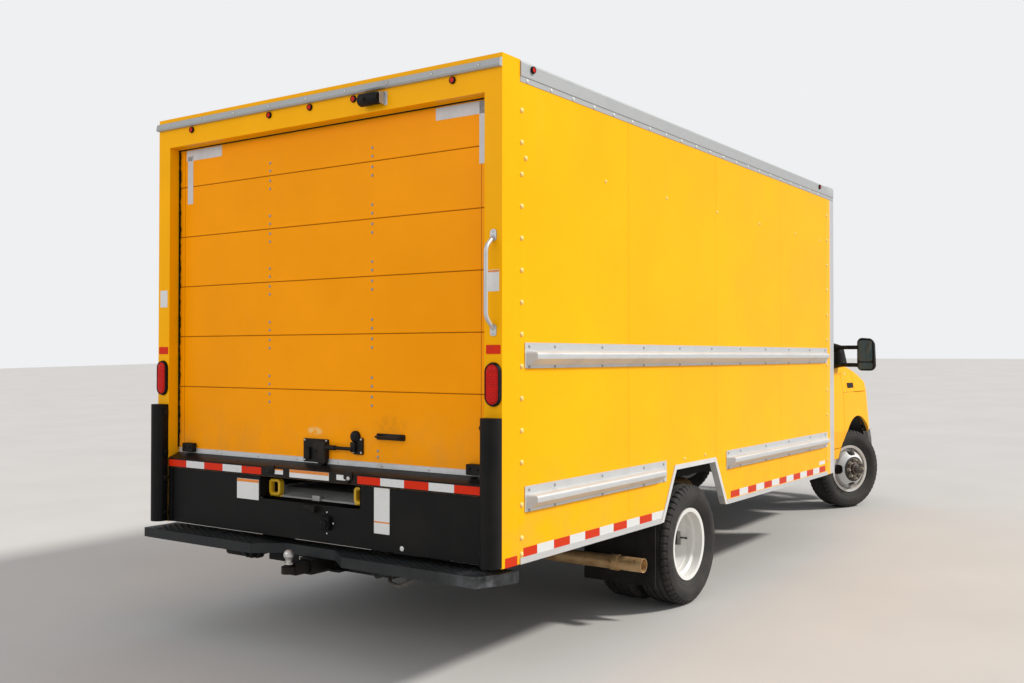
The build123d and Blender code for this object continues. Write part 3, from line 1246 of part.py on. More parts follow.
# Cab shell: the block less its spaces and openings, with liners over the front wheels
with BuildPart() as cab_shell:
    add(cab_block.part)
    add(engine_bay.part, mode=Mode.SUBTRACT)
    add(cabin_space.part, mode=Mode.SUBTRACT)
    add(upper_space.part, mode=Mode.SUBTRACT)
    floor_low = CAB_FLOOR - FLOOR_THICK
    add(cab_loft(CAB_LEVELS, CAB_WALL) & side_block(-1500, FIREWALL_X + 50, 400, floor_low), mode=Mode.SUBTRACT)
    add(side_block(-1500, -1300, 400, floor_low, -904, 904), mode=Mode.SUBTRACT)
    add(bumper_block(-SEAT, BUMPER_BOTTOM - 60, BUMPER_TOP + SEAT), mode=Mode.SUBTRACT)
    add(side_block(COWL_X - CLEAR, 900, HOOD_SEAM - CLEAR, 1600), mode=Mode.SUBTRACT)
    add(screen_space(0), mode=Mode.SUBTRACT)
    add(nose_block(-GRILLE_HALF, GRILLE_HALF, GRILLE_LOW, GRILLE_HIGH), mode=Mode.SUBTRACT)
    for side, sign in sides():
        span = sorted((sign * DOOR_DEPTH_Y, sign * WIDE))
        with BuildPart(mode=Mode.SUBTRACT):
            add(side_prism(door_outline(CLEAR), *span))
            add(door_edge(DOOR_REAR_X - CLEAR, sign), mode=Mode.INTERSECT)
        near, far = sorted((sign * HEADLAMP_IN, sign * HEADLAMP_OUT))
        add(nose_block(near, far, HEADLAMP_LOW, HEADLAMP_HIGH), mode=Mode.SUBTRACT)
        add(wheel_space(sign, ARCH_RADIUS), mode=Mode.SUBTRACT)
        with BuildSketch(Plane.XZ.offset(-sign * LINER_INNER_Y)):
            with Locations((X_FRONT_AXLE + ARCH_SHIFT, ARCH_CENTRE_Z)):
                Circle(ARCH_RADIUS + LINER_SHEET)
                Circle(ARCH_RADIUS, mode=Mode.SUBTRACT)
            with Locations((X_FRONT_AXLE, ARCH_CENTRE_Z - 230)):
                Rectangle(3 * ARCH_RADIUS, 2 * 400, mode=Mode.SUBTRACT)
        extrude(amount=-sign * LINER_WIDTH)
keep(cab_shell, "cab_shell")

# Mirrors: foot on the door, two arms and the head
for side, sign in sides():
    with BuildPart() as mirror:
        width, height, depth = MIRROR_SIZE
        head_x = X_FRONT_AXLE + MIRROR_X
        head_y = sign * (MIRROR_OUT - width / 2)
        with BuildSketch(Plane.YZ.offset(head_x)):
            with Locations((head_y, MIRROR_Z)):
                RectangleRounded(width, height, 34)
        extrude(amount=depth)
        fillet(mirror.faces().sort_by(Axis.X)[-1].edges(), 24)
        root = Vector(X_FRONT_AXLE + PILLAR_FOOT_X - 120, sign * (MIRROR_FOOT_Y + 25), 0)
        inner = Vector(head_x + depth * 0.5, sign * (MIRROR_OUT - width + 12), 0)
        for z in ARM_HEIGHTS:
            run = root - inner
            with BuildSketch(Plane(origin=inner + Vector(0, 0, z), z_dir=run)):
                Circle(15)
            extrude(amount=run.length)
        with BuildSketch(Plane.XZ.offset(-sign * MIRROR_FOOT_Y)):
            Polygon(
                (X_FRONT_AXLE + SAIL_X, WINDOW_LOW - 20),
                (X_FRONT_AXLE + SAIL_X, SAIL_TOP),
                (X_FRONT_AXLE + SAIL_X + 60, SAIL_TOP),
                (X_FRONT_AXLE + PILLAR_FOOT_X - 20, WINDOW_LOW - 20),
                align=None,
            )
        extrude(amount=-sign * 72, taper=14)
        add(cab_block.part, mode=Mode.SUBTRACT)
    keep(mirror, f"mirror_{side}")

# Dash, steering wheel and seats
with BuildPart() as cabin_fittings:
    dash_low, dash_high = CAB_FLOOR + 270, CAB_FLOOR + 500
    box_between(X_FRONT_AXLE - 560, X_FRONT_AXLE - 330, -750, 750, dash_low, dash_high)
    fillet(cabin_fittings.edges().filter_by(Axis.Y), 40)
    wheel_plane = Plane(origin=(X_FRONT_AXLE - 740, SEAT_Y, dash_high + 10), z_dir=Vector(-1, 0, 0.75))
    with BuildSketch(wheel_plane):
        Circle(200)
        Circle(172, mode=Mode.SUBTRACT)
        Rectangle(360, 34)
        Circle(50)
    extrude(amount=-22)
    with BuildSketch(wheel_plane):
        Circle(26)
    extrude(amount=-300)
    base_top, cushion_top = CAB_FLOOR + 170, CAB_FLOOR + 290
    for side, sign in sides():
        y = sign * SEAT_Y
        box_between(X_FRONT_AXLE - 1290, X_FRONT_AXLE - 830, y - 250, y + 250, base_top, cushion_top)
        box_between(X_FRONT_AXLE - 1250, X_FRONT_AXLE - 860, y - 200, y + 200, CAB_FLOOR + SEAT, base_top)
        box_between(X_FRONT_AXLE - 1345, X_FRONT_AXLE - 1230, y - 240, y + 240, base_top, cushion_top + 560)
keep(cabin_fittings, "cabin_fittings")
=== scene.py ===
# %% [markdown]
# # A box truck, dressed over its CAD frame
#
# The packed CAD model gives every size and every joint. This lesson loads it, reads the landmarks that
# the later steps hang their pieces on, and then adds what a draughtsman leaves out: tread, rivets,
# tapes, screws, seals and finishes. Everything is in metres: +X forward, +Y left, +Z up.

import json
import math

import bpy
import numpy as np
from mathutils import Matrix


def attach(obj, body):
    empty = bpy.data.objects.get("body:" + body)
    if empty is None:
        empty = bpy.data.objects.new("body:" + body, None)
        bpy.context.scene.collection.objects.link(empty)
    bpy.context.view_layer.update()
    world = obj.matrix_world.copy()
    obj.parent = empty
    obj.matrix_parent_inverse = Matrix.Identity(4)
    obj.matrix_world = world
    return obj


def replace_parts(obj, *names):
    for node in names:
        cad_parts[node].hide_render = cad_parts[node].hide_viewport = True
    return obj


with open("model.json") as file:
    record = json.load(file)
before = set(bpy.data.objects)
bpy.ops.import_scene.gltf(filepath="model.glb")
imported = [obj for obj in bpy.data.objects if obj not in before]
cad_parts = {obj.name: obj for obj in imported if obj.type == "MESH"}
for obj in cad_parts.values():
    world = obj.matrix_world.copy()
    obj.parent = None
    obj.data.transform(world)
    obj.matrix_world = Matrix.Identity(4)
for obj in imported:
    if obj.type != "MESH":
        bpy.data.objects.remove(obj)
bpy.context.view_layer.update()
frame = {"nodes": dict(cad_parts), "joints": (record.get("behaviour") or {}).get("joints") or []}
JOINTS = {joint["name"]: joint for joint in frame["joints"]}

# %% [markdown]
# An empty truck stands a little nose down. Lengths and heights are easier to think about along its own
# deck, so every piece is drawn level and turned about the rear hub at the end. The turn is read from the
# front wheel's kingpin, which is upright in the level truck.

# %% Level and parked
LEVEL_HUB = np.array([-1.3125, 0.0, 0.365])
PARKED_HUB = np.array(JOINTS["wheels_rear_left_spin"]["pos_m"]) * (1, 0, 1)
kingpin = JOINTS["steer_left"]["axis"]
RAKE = math.atan2(kingpin[0], kingpin[2])
TURN = np.array([[math.cos(RAKE), 0, -math.sin(RAKE)], [0, 1, 0], [math.sin(RAKE), 0, math.cos(RAKE)]])


def parked(points):
    """Turns points of the level truck about the rear hub and sets them down on its wheels."""
    return (np.asarray(points, float) - LEVEL_HUB) @ TURN + PARKED_HUB


def levelled(points):
    """The other way: from the parked truck to its own level."""
    return (np.asarray(points, float) - PARKED_HUB) @ TURN.T + LEVEL_HUB


def level_box(node):
    """Lowest and highest corner of a CAD piece in the truck's own level."""
    piece = frame["nodes"][node]
    points = np.empty(len(piece.data.vertices) * 3)
    piece.data.vertices.foreach_get("co", points)
    turn = np.array(piece.matrix_world)
    points = levelled(points.reshape(-1, 3) @ turn[:3, :3].T + turn[:3, 3])
    return points.min(0), points.max(0)


print("nose down by", round(math.degrees(RAKE), 3), "degrees")

# %% Landmarks of the body
back_low, back_high = level_box("rear_frame")
REAR, FRAME_FRONT = back_low[0], back_high[0]
HALF, TOP = back_high[1], back_high[2]
door_low = level_box("rollup_door")[0]
DOORWAY, DOOR_LOW = door_low[0], door_low[2]
BODY_FRONT = level_box("wall_front")[1][0]
REAR_AXLE = LEVEL_HUB[0]
FRONT_AXLE = levelled(JOINTS["steer_left"]["pos_m"])[0]
SIDES = (("left", 1), ("right", -1))
print("body from", round(REAR, 3), "to", round(BODY_FRONT, 3), "and half width", round(HALF, 3))

# %% [markdown]
# The camera stands behind the truck's right corner, a little below half the body's height. It could
# be placed by eye and nudged, but its place was solved from corners whose positions the CAD knows, so
# here it is simply written down. The axes of a camera object are right, up and backwards, which is why
# the three columns of its matrix are enough to aim it.

# %% Camera
EYE = np.array([-6.9994, -3.8203, 1.4827])
YAW, PITCH, ROLL = np.radians([34.771, 0.765, 0.0335])
ahead = np.array([np.cos(PITCH) * np.cos(YAW), np.cos(PITCH) * np.sin(YAW), np.sin(PITCH)])
level = np.array([np.sin(YAW), -np.cos(YAW), 0.0])
upward = np.cross(level, ahead)
right_hand = level * np.cos(ROLL) + upward * np.sin(ROLL)
upward = upward * np.cos(ROLL) - level * np.sin(ROLL)

lens = bpy.data.cameras.new("camera")
lens.sensor_width, lens.lens = 36.0, 36.6
camera = bpy.data.objects.new("camera", lens)
bpy.context.scene.collection.objects.link(camera)
pose = np.eye(4)
pose[:3, :3] = (np.array([right_hand, upward, -ahead]) @ TURN).T
pose[:3, 3] = parked(EYE)
camera.matrix_world = Matrix(pose)
bpy.context.scene.camera = camera
bpy.context.scene.view_settings.view_transform = "Standard"
print("camera at", EYE.round(3), "lens", lens.lens)

# %% [markdown]
# Mesh tools. A piece here is a surface worked out with numpy: a list of points, the corners of its
# faces one after another, and how many corners each face has. Faces could be typed in by hand, but a
# closed outline carried along a path gives nearly every part of a truck body, from a rivet to a
# mirror, so one function joins rings of points and the rest only work out where the rings go.

# %% Rings of points into a closed surface
def facing_out(points, corners, sizes):
    """Turns the faces round if the signed volume, a sum of p0 . (pi x pj) over their fans, is negative."""
    starts = np.cumsum(sizes) - sizes
    face = np.repeat(np.arange(len(sizes)), sizes)
    following = np.arange(len(corners)) + 1
    last = starts + sizes - 1
    following[last] = starts
    first, here, then = points[corners[starts[face]]], points[corners], points[corners[following]]
    if np.einsum("ij,ij->i", first, np.cross(here, then)).sum() < 0:
        order = np.repeat(starts + last, sizes) - np.arange(len(corners))
        corners = corners[order]
    return points, corners, sizes


def rings_to_shape(rings, loop=False):
    """Quads between neighbouring closed rings. Each end is capped by one face, or they meet in a loop."""
    rings = np.asarray(rings, float)
    count, around = rings.shape[:2]
    step = np.arange(count if loop else count - 1)[:, None]
    here, then = np.arange(around)[None], (np.arange(around) + 1)[None] % around
    near, far = step * around, (step + 1) % count * around
    corners = np.stack([near + here, near + then, far + then, far + here], -1).ravel()
    sizes = np.full(len(corners) // 4, 4)
    if not loop:
        caps = np.concatenate([np.arange(around)[::-1], (count - 1) * around + np.arange(around)])
        corners, sizes = np.concatenate([corners, caps]), np.concatenate([sizes, [around, around]])
    return facing_out(rings.reshape(-1, 3), corners, sizes)


def join(shapes):
    """Several shapes as one, with the corners counted on."""
    before = np.cumsum([0] + [len(shape[0]) for shape in shapes[:-1]])
    points, corners, sizes = zip(*shapes)
    counted = [part + first for part, first in zip(corners, before)]
    return np.concatenate(points), np.concatenate(counted), np.concatenate(sizes)


def copies(shape, places):
    """The same shape moved to each place, worked out as one array."""
    points, corners, sizes = shape
    places = np.asarray(places, float).reshape(-1, 3)
    moved = (points[None] + places[:, None]).reshape(-1, 3)
    counted = (corners[None] + len(points) * np.arange(len(places))[:, None]).ravel()
    return moved, counted, np.tile(sizes, len(places))


print("a triangle carried along a step has", len(rings_to_shape(np.zeros((2, 3, 3)))[2]), "faces")

# %% [markdown]
# Flat parts are drawn in their own plane and then set against the truck. Each face of the body gets
# three directions: to the right and up as seen by someone who looks at it, and outwards. A shape drawn
# in those directions lands on the rear, a side or the roof by one matrix product.

# %% Faces of the body
REARWARD = np.array([[0, -1, 0], [0, 0, 1], [-1, 0, 0]], float)
FORWARD = np.array([[0, 1, 0], [0, 0, 1], [1, 0, 0]], float)
RIGHTWARD = np.array([[1, 0, 0], [0, 0, 1], [0, -1, 0]], float)
LEFTWARD = np.array([[-1, 0, 0], [0, 0, 1], [0, 1, 0]], float)
SKYWARD = np.array([[1, 0, 0], [0, 1, 0], [0, 0, 1]], float)
SIDEWARD = {1: LEFTWARD, -1: RIGHTWARD}


def onto(shape, facing, place=(0, 0, 0)):
    """Turns a shape drawn as (right, up, out) so that it faces a way, and moves it there."""
    points, corners, sizes = shape
    return points @ facing + np.asarray(place, float), corners, sizes


def behind(shape, place=(0, 0, 0)):
    """The same for a shape that looks to the rear."""
    return onto(shape, REARWARD, place)


print("right, up and out on the rear are", REARWARD.tolist())

# %% [markdown]
# Most small parts are an outline in a few layers: a plate is a rounded rectangle drawn in at its edge, a
# rivet head is a circle that closes in steps, a knob is a profile turned about its axis, and a handle is
# an outline carried along a bent path.

# %% Outlines, plates and rivet heads
def circle(radius, count=16):
    """Points at radius (cos t, sin t)."""
    turn = np.linspace(0, 2 * np.pi, count, endpoint=False)
    return radius * np.stack([np.cos(turn), np.sin(turn)], -1)


def rounded(width, height, radius, count=4):
    """Four quarter circles round a rectangle's corners."""
    turn = np.linspace(0, np.pi / 2, count)
    quarter = np.arange(4)[:, None]
    angle = (turn[None] + quarter * np.pi / 2).ravel()
    side = np.repeat([[1, 1], [-1, 1], [-1, -1], [1, -1]], count, axis=0)
    inner = np.array([width / 2 - radius, height / 2 - radius])
    return side * inner + radius * np.stack([np.cos(angle), np.sin(angle)], -1)


def layers(outline, steps):
    """Stacks an outline: each step is (scale across, scale up, height), and the heights run outwards."""
    rings = [np.column_stack([outline * (sx, sy), np.full(len(outline), height)]) for sx, sy, height in steps]
    return rings_to_shape(rings)


def plate(width, height, thick, radius=0.002, edge=0.0006):
    """Flat plate with rounded corners and a small chamfer round its front."""
    outline = rounded(width, height, min(radius, width / 2 - 1e-5, height / 2 - 1e-5), 3)
    inward = (1 - 2 * edge / width, 1 - 2 * edge / height)
    return layers(outline, [(1, 1, 0), (1, 1, thick - edge), (*inward, thick)])


def stub(width, height, radius, rise, top, draw=(0.8, 0.9), count=4):
    """Rounded block with upright sides as far as rise, which draw in by two factors up to its top."""
    return layers(rounded(width, height, radius, count), [(1, 1, 0), (1, 1, rise), (*draw, top)])


def dome(radius, height):
    """Rivet head: circles whose radius falls as the cosine while the height rises as the sine."""
    rise = np.radians([-12, 20, 48, 76])
    steps = [(np.cos(a), np.cos(a), height * np.sin(a)) for a in rise]
    return layers(circle(radius, 10), steps)


print("a rivet head has", int((dome(1.0, 1.0)[2] - 2).sum()), "triangles")


# %% Turned parts, bars and bent paths
def turned(profile, count=24, loop=False):
    """Revolves (radius, distance outwards) points about the outward direction."""
    profile = np.asarray(profile, float)
    turn = np.linspace(0, 2 * np.pi, count, endpoint=False)
    across, up = np.cos(turn)[None] * profile[:, :1], np.sin(turn)[None] * profile[:, :1]
    rings = np.stack([across, up, np.repeat(profile[:, 1:], count, axis=1)], -1)
    return rings_to_shape(rings, loop)


def bar(outline, path, up=(0, 0, 1)):
    """Carries an outline along a path, square to it: right is path x up, and rings lean into the bends."""
    path = np.asarray(path, float)
    run = np.diff(path, axis=0)
    run /= np.linalg.norm(run, axis=1, keepdims=True)
    along = np.vstack([run[:1], run[:-1] + run[1:], run[-1:]])
    along /= np.linalg.norm(along, axis=1, keepdims=True)
    across = np.cross(along, np.asarray(up, float))
    across /= np.linalg.norm(across, axis=1, keepdims=True)
    rise = np.cross(across, along)
    rings = path[:, None] + outline[None, :, :1] * across[:, None] + outline[None, :, 1:] * rise[:, None]
    return rings_to_shape(rings)


def rounded_path(points, radius, count=5):
    """Cuts each corner of a path by a quadratic curve that starts radius before it and ends radius after."""
    points = np.asarray(points, float)
    path = [points[0]]
    for before, corner, after in zip(points[:-2], points[1:-1], points[2:]):
        start = corner + radius * (before - corner) / np.linalg.norm(before - corner)
        end = corner + radius * (after - corner) / np.linalg.norm(after - corner)
        t = np.linspace(0, 1, count)[:, None]
        path.extend((1 - t) ** 2 * start + 2 * t * (1 - t) * corner + t**2 * end)
    path.append(points[-1])
    return np.array(path)


print("a right angle is rounded by", len(rounded_path([(1, 0, 0), (0, 0, 0), (0, 1, 0)], 0.1)) - 2, "points")

# %% [markdown]
# Every piece rides on a CAD body, so it moves when the body moves. Wheels need a word of their own: a
# wheel's parts are drawn about its axle, so each wheel's middle and outward direction are read from its
# joint. One function then turns arrays into an object, parks it and lets it ride.

# %% Wheels, and objects that ride on a body
WHEELS = {}
for joint in JOINTS.values():
    if joint["name"].endswith("_spin"):
        centre, axle = np.array(joint["pos_m"]), np.array(joint["axis"])
        outward = axle * np.sign(centre[1])
        WHEELS[joint["child"]] = (centre, outward / np.linalg.norm(outward))
print("wheels", {name: centre.round(3).tolist() for name, (centre, _) in WHEELS.items()})

made = {}


def put(name, shape, finish, smooth=32, body="chassis"):
    """Makes the object, shades it smooth with sharp edges past an angle, and lets it ride on a body.

    A shape is drawn in the truck's own level and parked here, except on a wheel, whose shapes are
    drawn about the parked axle.
    """
    points, corners, sizes = shape
    if body not in WHEELS:
        points = parked(points)
    mesh = bpy.data.meshes.new(name)
    mesh.vertices.add(len(points))
    mesh.vertices.foreach_set("co", np.asarray(points, np.float32).ravel())
    mesh.loops.add(len(corners))
    mesh.loops.foreach_set("vertex_index", np.asarray(corners, np.int32))
    mesh.polygons.add(len(sizes))
    mesh.polygons.foreach_set("loop_start", np.asarray(np.cumsum(sizes) - sizes, np.int32))
    mesh.update(calc_edges=True)
    mesh.validate()
    mesh.shade_smooth()
    mesh.set_sharp_from_angle(angle=math.radians(smooth))
    mesh.materials.append(finish)
    piece = bpy.data.objects.new(name, mesh)
    bpy.context.scene.collection.objects.link(piece)
    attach(piece, body)
    made[name] = int((sizes - 2).sum())
    return piece


# %% [markdown]
# Finishes. A finish is a small tree of nodes that ends in one Principled shader. Noise is read from
# Object coordinates, in metres, so its scale is a real scale: 300 gives the pebbles of textured paint,
# 3 gives the broad patches that dust leaves. A short class adds one node per call and hands back the
# socket, which keeps each recipe readable from top to bottom.

# %% A class that adds nodes
class Finish:
    """One material in the making. Plain numbers are set on the shader's own sockets by name."""

    def __init__(self, name, **sockets):
        self.material = bpy.data.materials.new(name)
        self.material.use_nodes = True
        self.tree = self.material.node_tree
        self.shader = self.tree.nodes["Principled BSDF"]
        for socket, value in sockets.items():
            self.shader.inputs[socket.replace("_", " ")].default_value = value
        self.parked_place = self.add("ShaderNodeTexCoord").outputs["Object"]
        shift = LEVEL_HUB - TURN @ PARKED_HUB
        values = {"Vector": self.parked_place, "Location": shift, "Rotation": (0, -RAKE, 0)}
        self.place = self.add("ShaderNodeMapping", values).outputs[0]
        self.relief = None

    def add(self, kind, values=None, **settings):
        node = self.tree.nodes.new(kind)
        for key, value in settings.items():
            setattr(node, key, value)
        for socket, value in (values or {}).items():
            if isinstance(value, bpy.types.NodeSocket):
                self.tree.links.new(value, node.inputs[socket])
            else:
                node.inputs[socket].default_value = value
        return node

    def stretched(self, scale):
        """Object coordinates multiplied per axis, so that a noise is drawn out along the small ones."""
        return self.add("ShaderNodeMapping", {"Vector": self.place, "Scale": scale}).outputs[0]

    def noise(self, scale, detail=4.0, rough=0.55, stretch=(1, 1, 1)):
        """Fractal noise of scale patches to a metre, in detail octaves, each rough times the last."""
        spot = self.place if stretch == (1, 1, 1) else self.stretched(stretch)
        values = {"Vector": spot, "Scale": scale, "Detail": detail, "Roughness": rough}
        return self.add("ShaderNodeTexNoise", values).outputs["Fac"]

    def spread(self, value, low, high, to_low=0.0, to_high=1.0):
        """A straight ramp: low gives to_low, high gives to_high, and it stays level beyond them."""
        values = {"Value": value, "From Min": low, "From Max": high, "To Min": to_low, "To Max": to_high}
        return self.add("ShaderNodeMapRange", values, clamp=True).outputs[0]

    def math(self, what, one, other=0.5):
        return self.add("ShaderNodeMath", {0: one, 1: other}, operation=what).outputs[0]

    def times(self, product, *others):
        for value in others:
            product = self.math("MULTIPLY", product, value)
        return product

    def plus(self, one, other):
        return self.math("ADD", one, other)

    def minus(self, one, other):
        return self.math("SUBTRACT", one, other)

    def past(self, value, limit, soft=0.002):
        """Nought up to the limit and one beyond it."""
        return self.spread(value, limit, limit + soft)

    def under(self, value, limit, soft=0.002):
        """One up to the limit and nought beyond it."""
        return self.spread(value, limit, limit + soft, 1.0, 0.0)

    def axis(self, name):
        return self.add("ShaderNodeSeparateXYZ", {0: self.place}).outputs[name]

    def across(self):
        """Distance from the truck's middle plane."""
        return self.math("ABSOLUTE", self.axis("Y"))

    def band(self, name, low, high, soft=0.002):
        """One between low and high along an axis, falling to nought over soft outside them."""
        value = self.axis(name)
        rising = self.spread(value, low - soft, low)
        return self.times(rising, self.under(value, high, soft))

    def mix(self, factor, one, other):
        """One colour where the factor is nought and the other where it is one."""
        one, other = ((*value, 1.0) if isinstance(value, tuple) else value for value in (one, other))
        return self.add("ShaderNodeMix", {0: factor, 6: one, 7: other}, data_type="RGBA").outputs[2]

    def bump(self, height, distance, strength=1.0):
        """Adds to the relief: distance is the rise in metres for a height of one."""
        values = {"Height": height, "Distance": distance, "Strength": strength}
        if self.relief is not None:
            values["Normal"] = self.relief
        self.relief = self.add("ShaderNodeBump", values).outputs[0]

    def done(self, colour, rough=None, metal=None):
        ends = {"Base Color": colour, "Roughness": rough, "Metallic": metal, "Normal": self.relief}
        for socket, value in ends.items():
            if value is not None:
                self.tree.links.new(value, self.shader.inputs[socket])
        return self.material


print("steps of a finish:", [name for name in vars(Finish) if not name.startswith("_")])


# %% [markdown]
# Body paint is a rich yellow in gloss enamel. One flat yellow looks like plastic: the real panels are a
# little uneven in tone, the sheet is not quite flat, so reflections bend, and road film gathers near
# the foot. The same recipe with an oranger tone gives the roll-up door. On the side walls it also
# draws the lapped joints of the sheets, and on the door the joints of its panels, which are thinner than
# a modelled groove could show. The cab's skin is one thin shell seen from both sides, so its finish also
# turns grey on the cabin's side and black in the wheel arch.

# %% Places of seams and marks
YELLOW = (0.94, 0.425, 0.0)
DOOR_YELLOW = (0.93, 0.325, 0.0)
SEAM_X = (-2.139, -1.014, 0.101)
STILE_Y = (1.052, -1.030)
SEAMS_Z = (2.429, 2.150, 1.872, 1.589, 1.306)
ROWS_Z = [DOOR_LOW + 0.371 + 0.281 * k for k in range(6)]
SHEET_EDGE = (0.42, 0.42, 0.40)
# Marks on the door as (y, z, half width, half height, colour, strength): bare primer over the lock, hand
# dirt over the pull
DOOR_RUBS = ((0.022, 1.098, 0.062, 0.024, (0.80, 0.56, 0.22), 0.8),
             (-0.490, 1.150, 0.12, 0.05, (0.40, 0.16, 0.01), 0.22))
print("panel joints on the door", len(ROWS_Z), "and seams on a side", len(SEAM_X))

# %% Marks on the cab's skin
# Seams of the cowl, with x from the front axle, and the wheel arch
COWL_SEAM_Z, COWL_SEAM_X = 1.154, (-0.395, -0.055)
UPRIGHT_SEAM_X, UPRIGHT_SEAM_Z = -0.288, (1.154, 1.46)
ARCH_CENTRE, ARCH_RADIUS = (FRONT_AXLE + 0.005, 0.463), 0.478
SEAM_TONE, CABIN_TONE, LINER_TONE = (0.13, 0.05, 0.01), (0.15, 0.15, 0.155), (0.008, 0.008, 0.008)
# The cabin's edges: its side walls, its screen, and where the skin bends from the screen to the doors.
# Each has a place, and a share by which it draws in with height above a level.
WALL_Y, WALL_LEVEL, WALL_LEAN = 0.938, 1.08, 0.19
SCREEN_X, SCREEN_LEVEL, SCREEN_LEAN = FRONT_AXLE - 0.262, 1.30, 0.78
BEND_Y, BEND_LEAN, BEND_TURN = 0.772, 0.209, 2.2
CABIN_X, CABIN_Z = (FRONT_AXLE - 1.373, FRONT_AXLE), (0.80, 1.99)


def cab_marks(skin, colour):
    """Seams of the cowl, grey on the cabin's side of the skin, black in the wheel arch and under the floor.

    The cabin lies inside the wall line and behind the screen line, and past the bend the screen line
    turns back by a further share of the distance from it.
    """
    x, z, across = skin.axis("X"), skin.axis("Z"), skin.across()
    lower = skin.times(skin.band("Z", COWL_SEAM_Z - 0.0015, COWL_SEAM_Z + 0.0015, 0.001),
                       skin.band("X", FRONT_AXLE + COWL_SEAM_X[0], FRONT_AXLE + COWL_SEAM_X[1]))
    upright = FRONT_AXLE + UPRIGHT_SEAM_X
    upright = skin.times(skin.band("X", upright, upright + 0.003, 0.001), skin.band("Z", *UPRIGHT_SEAM_Z))
    seam = skin.times(skin.math("MAXIMUM", lower, upright), skin.spread(across, 0.80, 0.81))
    colour = skin.mix(skin.times(seam, 0.75), colour, SEAM_TONE)
    above_seat = skin.math("MAXIMUM", skin.minus(z, WALL_LEVEL), 0.0)
    wall = skin.minus(WALL_Y, skin.times(above_seat, WALL_LEAN))
    above_cowl = skin.math("MAXIMUM", skin.minus(z, SCREEN_LEVEL), 0.0)
    screen = skin.minus(SCREEN_X, skin.times(above_cowl, SCREEN_LEAN))
    past_bend = skin.minus(across, skin.minus(BEND_Y, skin.times(above_cowl, BEND_LEAN)))
    screen = skin.minus(screen, skin.times(skin.math("MAXIMUM", past_bend, 0.0), BEND_TURN))
    cabin = skin.times(skin.past(skin.minus(wall, across), 0.0), skin.past(skin.minus(screen, x), 0.0),
                       skin.band("X", *CABIN_X, 0.001), skin.band("Z", *CABIN_Z, 0.001))
    colour = skin.mix(cabin, colour, CABIN_TONE)
    away_x, away_z = skin.minus(x, ARCH_CENTRE[0]), skin.minus(z, ARCH_CENTRE[1])
    square = skin.plus(skin.times(away_x, away_x), skin.times(away_z, away_z))
    arch = skin.spread(square, ARCH_RADIUS**2, (ARCH_RADIUS + 0.002) ** 2, 1.0, 0.0)
    arch = skin.times(arch, skin.under(across, 0.940, 0.003))
    floor = skin.times(skin.under(z, 0.815, 0.003), skin.under(across, 0.905, 0.003))
    return skin.mix(skin.math("MAXIMUM", arch, floor), colour, LINER_TONE)


print("wheel arch about", ARCH_CENTRE, "radius", ARCH_RADIUS)


# %% Body paint
def body_paint(name, tone, dirt_from=0.55, dirt_to=1.05, seams=(), stiles=(), rows=(), rubs=(), cab=False):
    """Enamel over uneven sheet: road film rises to dirt_to, and joints lie at each seam, stile and row."""
    skin = Finish(name, Roughness=0.34, Specular_IOR_Level=0.07)
    patches = skin.noise(1.7, 5)
    shade = tuple(c * 0.93 for c in tone)
    colour = skin.mix(skin.spread(patches, 0.38, 0.66), shade, tone)
    streaks = skin.noise(9.0, 6, 0.6, (1, 1, 0.05))
    colour = skin.mix(skin.spread(streaks, 0.62, 0.8, 0.0, 0.10), colour, (0.45, 0.30, 0.08))
    low_down = skin.spread(skin.axis("Z"), dirt_from, dirt_to, 1.0, 0.0)
    grime = skin.times(low_down, skin.spread(skin.noise(6.0, 8, 0.65), 0.4, 0.72))
    colour = skin.mix(skin.times(grime, 0.28), colour, (0.33, 0.235, 0.10))
    specks = skin.spread(skin.noise(140.0, 2), 0.73, 0.78)
    specks = skin.times(specks, skin.spread(skin.noise(2.2, 3), 0.5, 0.62))
    colour = skin.mix(skin.times(specks, 0.5), colour, (0.20, 0.13, 0.05))
    joints = [("X", x, 0.0012, 0.62, (0.30, 0.16, 0.01)) for x in seams]
    joints += [("Y", y, 0.0016, 0.70, (0.22, 0.09, 0.01)) for y in stiles]
    joints += [("Z", z, 0.0016, 0.75, (0.16, 0.06, 0.01)) for z in rows]
    for axis, place, half, amount, tint in joints:
        joint = skin.band(axis, place - half, place + half, 0.0012)
        colour = skin.mix(skin.times(joint, amount), colour, tint)
    for x in seams:
        skin.bump(skin.band("X", x, x + 0.05, 0.001), 0.0012, 0.6)
    skin.bump(skin.noise(0.9, 3, 0.5, (1, 1, 0.6)), 0.02, 0.35)
    skin.bump(skin.noise(260.0, 2), 0.0003, 0.25)
    rough = skin.plus(skin.spread(patches, 0.3, 0.7, 0.28, 0.38), skin.times(grime, 0.3))
    for y, z, wide, high, tint, amount in rubs:
        beside = skin.times(skin.minus(skin.axis("Y"), y), 1 / wide)
        up = skin.times(skin.minus(skin.axis("Z"), z), 1 / high)
        away = skin.plus(skin.times(beside, beside), skin.times(up, up))
        rub = skin.times(skin.spread(away, 0.2, 1.0, 1.0, 0.0), skin.spread(skin.noise(30.0, 6), 0.40, 0.55))
        colour = skin.mix(skin.times(rub, amount), colour, tint)
    if seams:
        edge = skin.times(skin.under(skin.across(), HALF - 0.0016, 0.0004), skin.band("Z", 0.5, 1.0, 0.001))
        colour = skin.mix(edge, colour, SHEET_EDGE)
    if cab:
        colour = cab_marks(skin, colour)
    return skin.done(colour, rough)


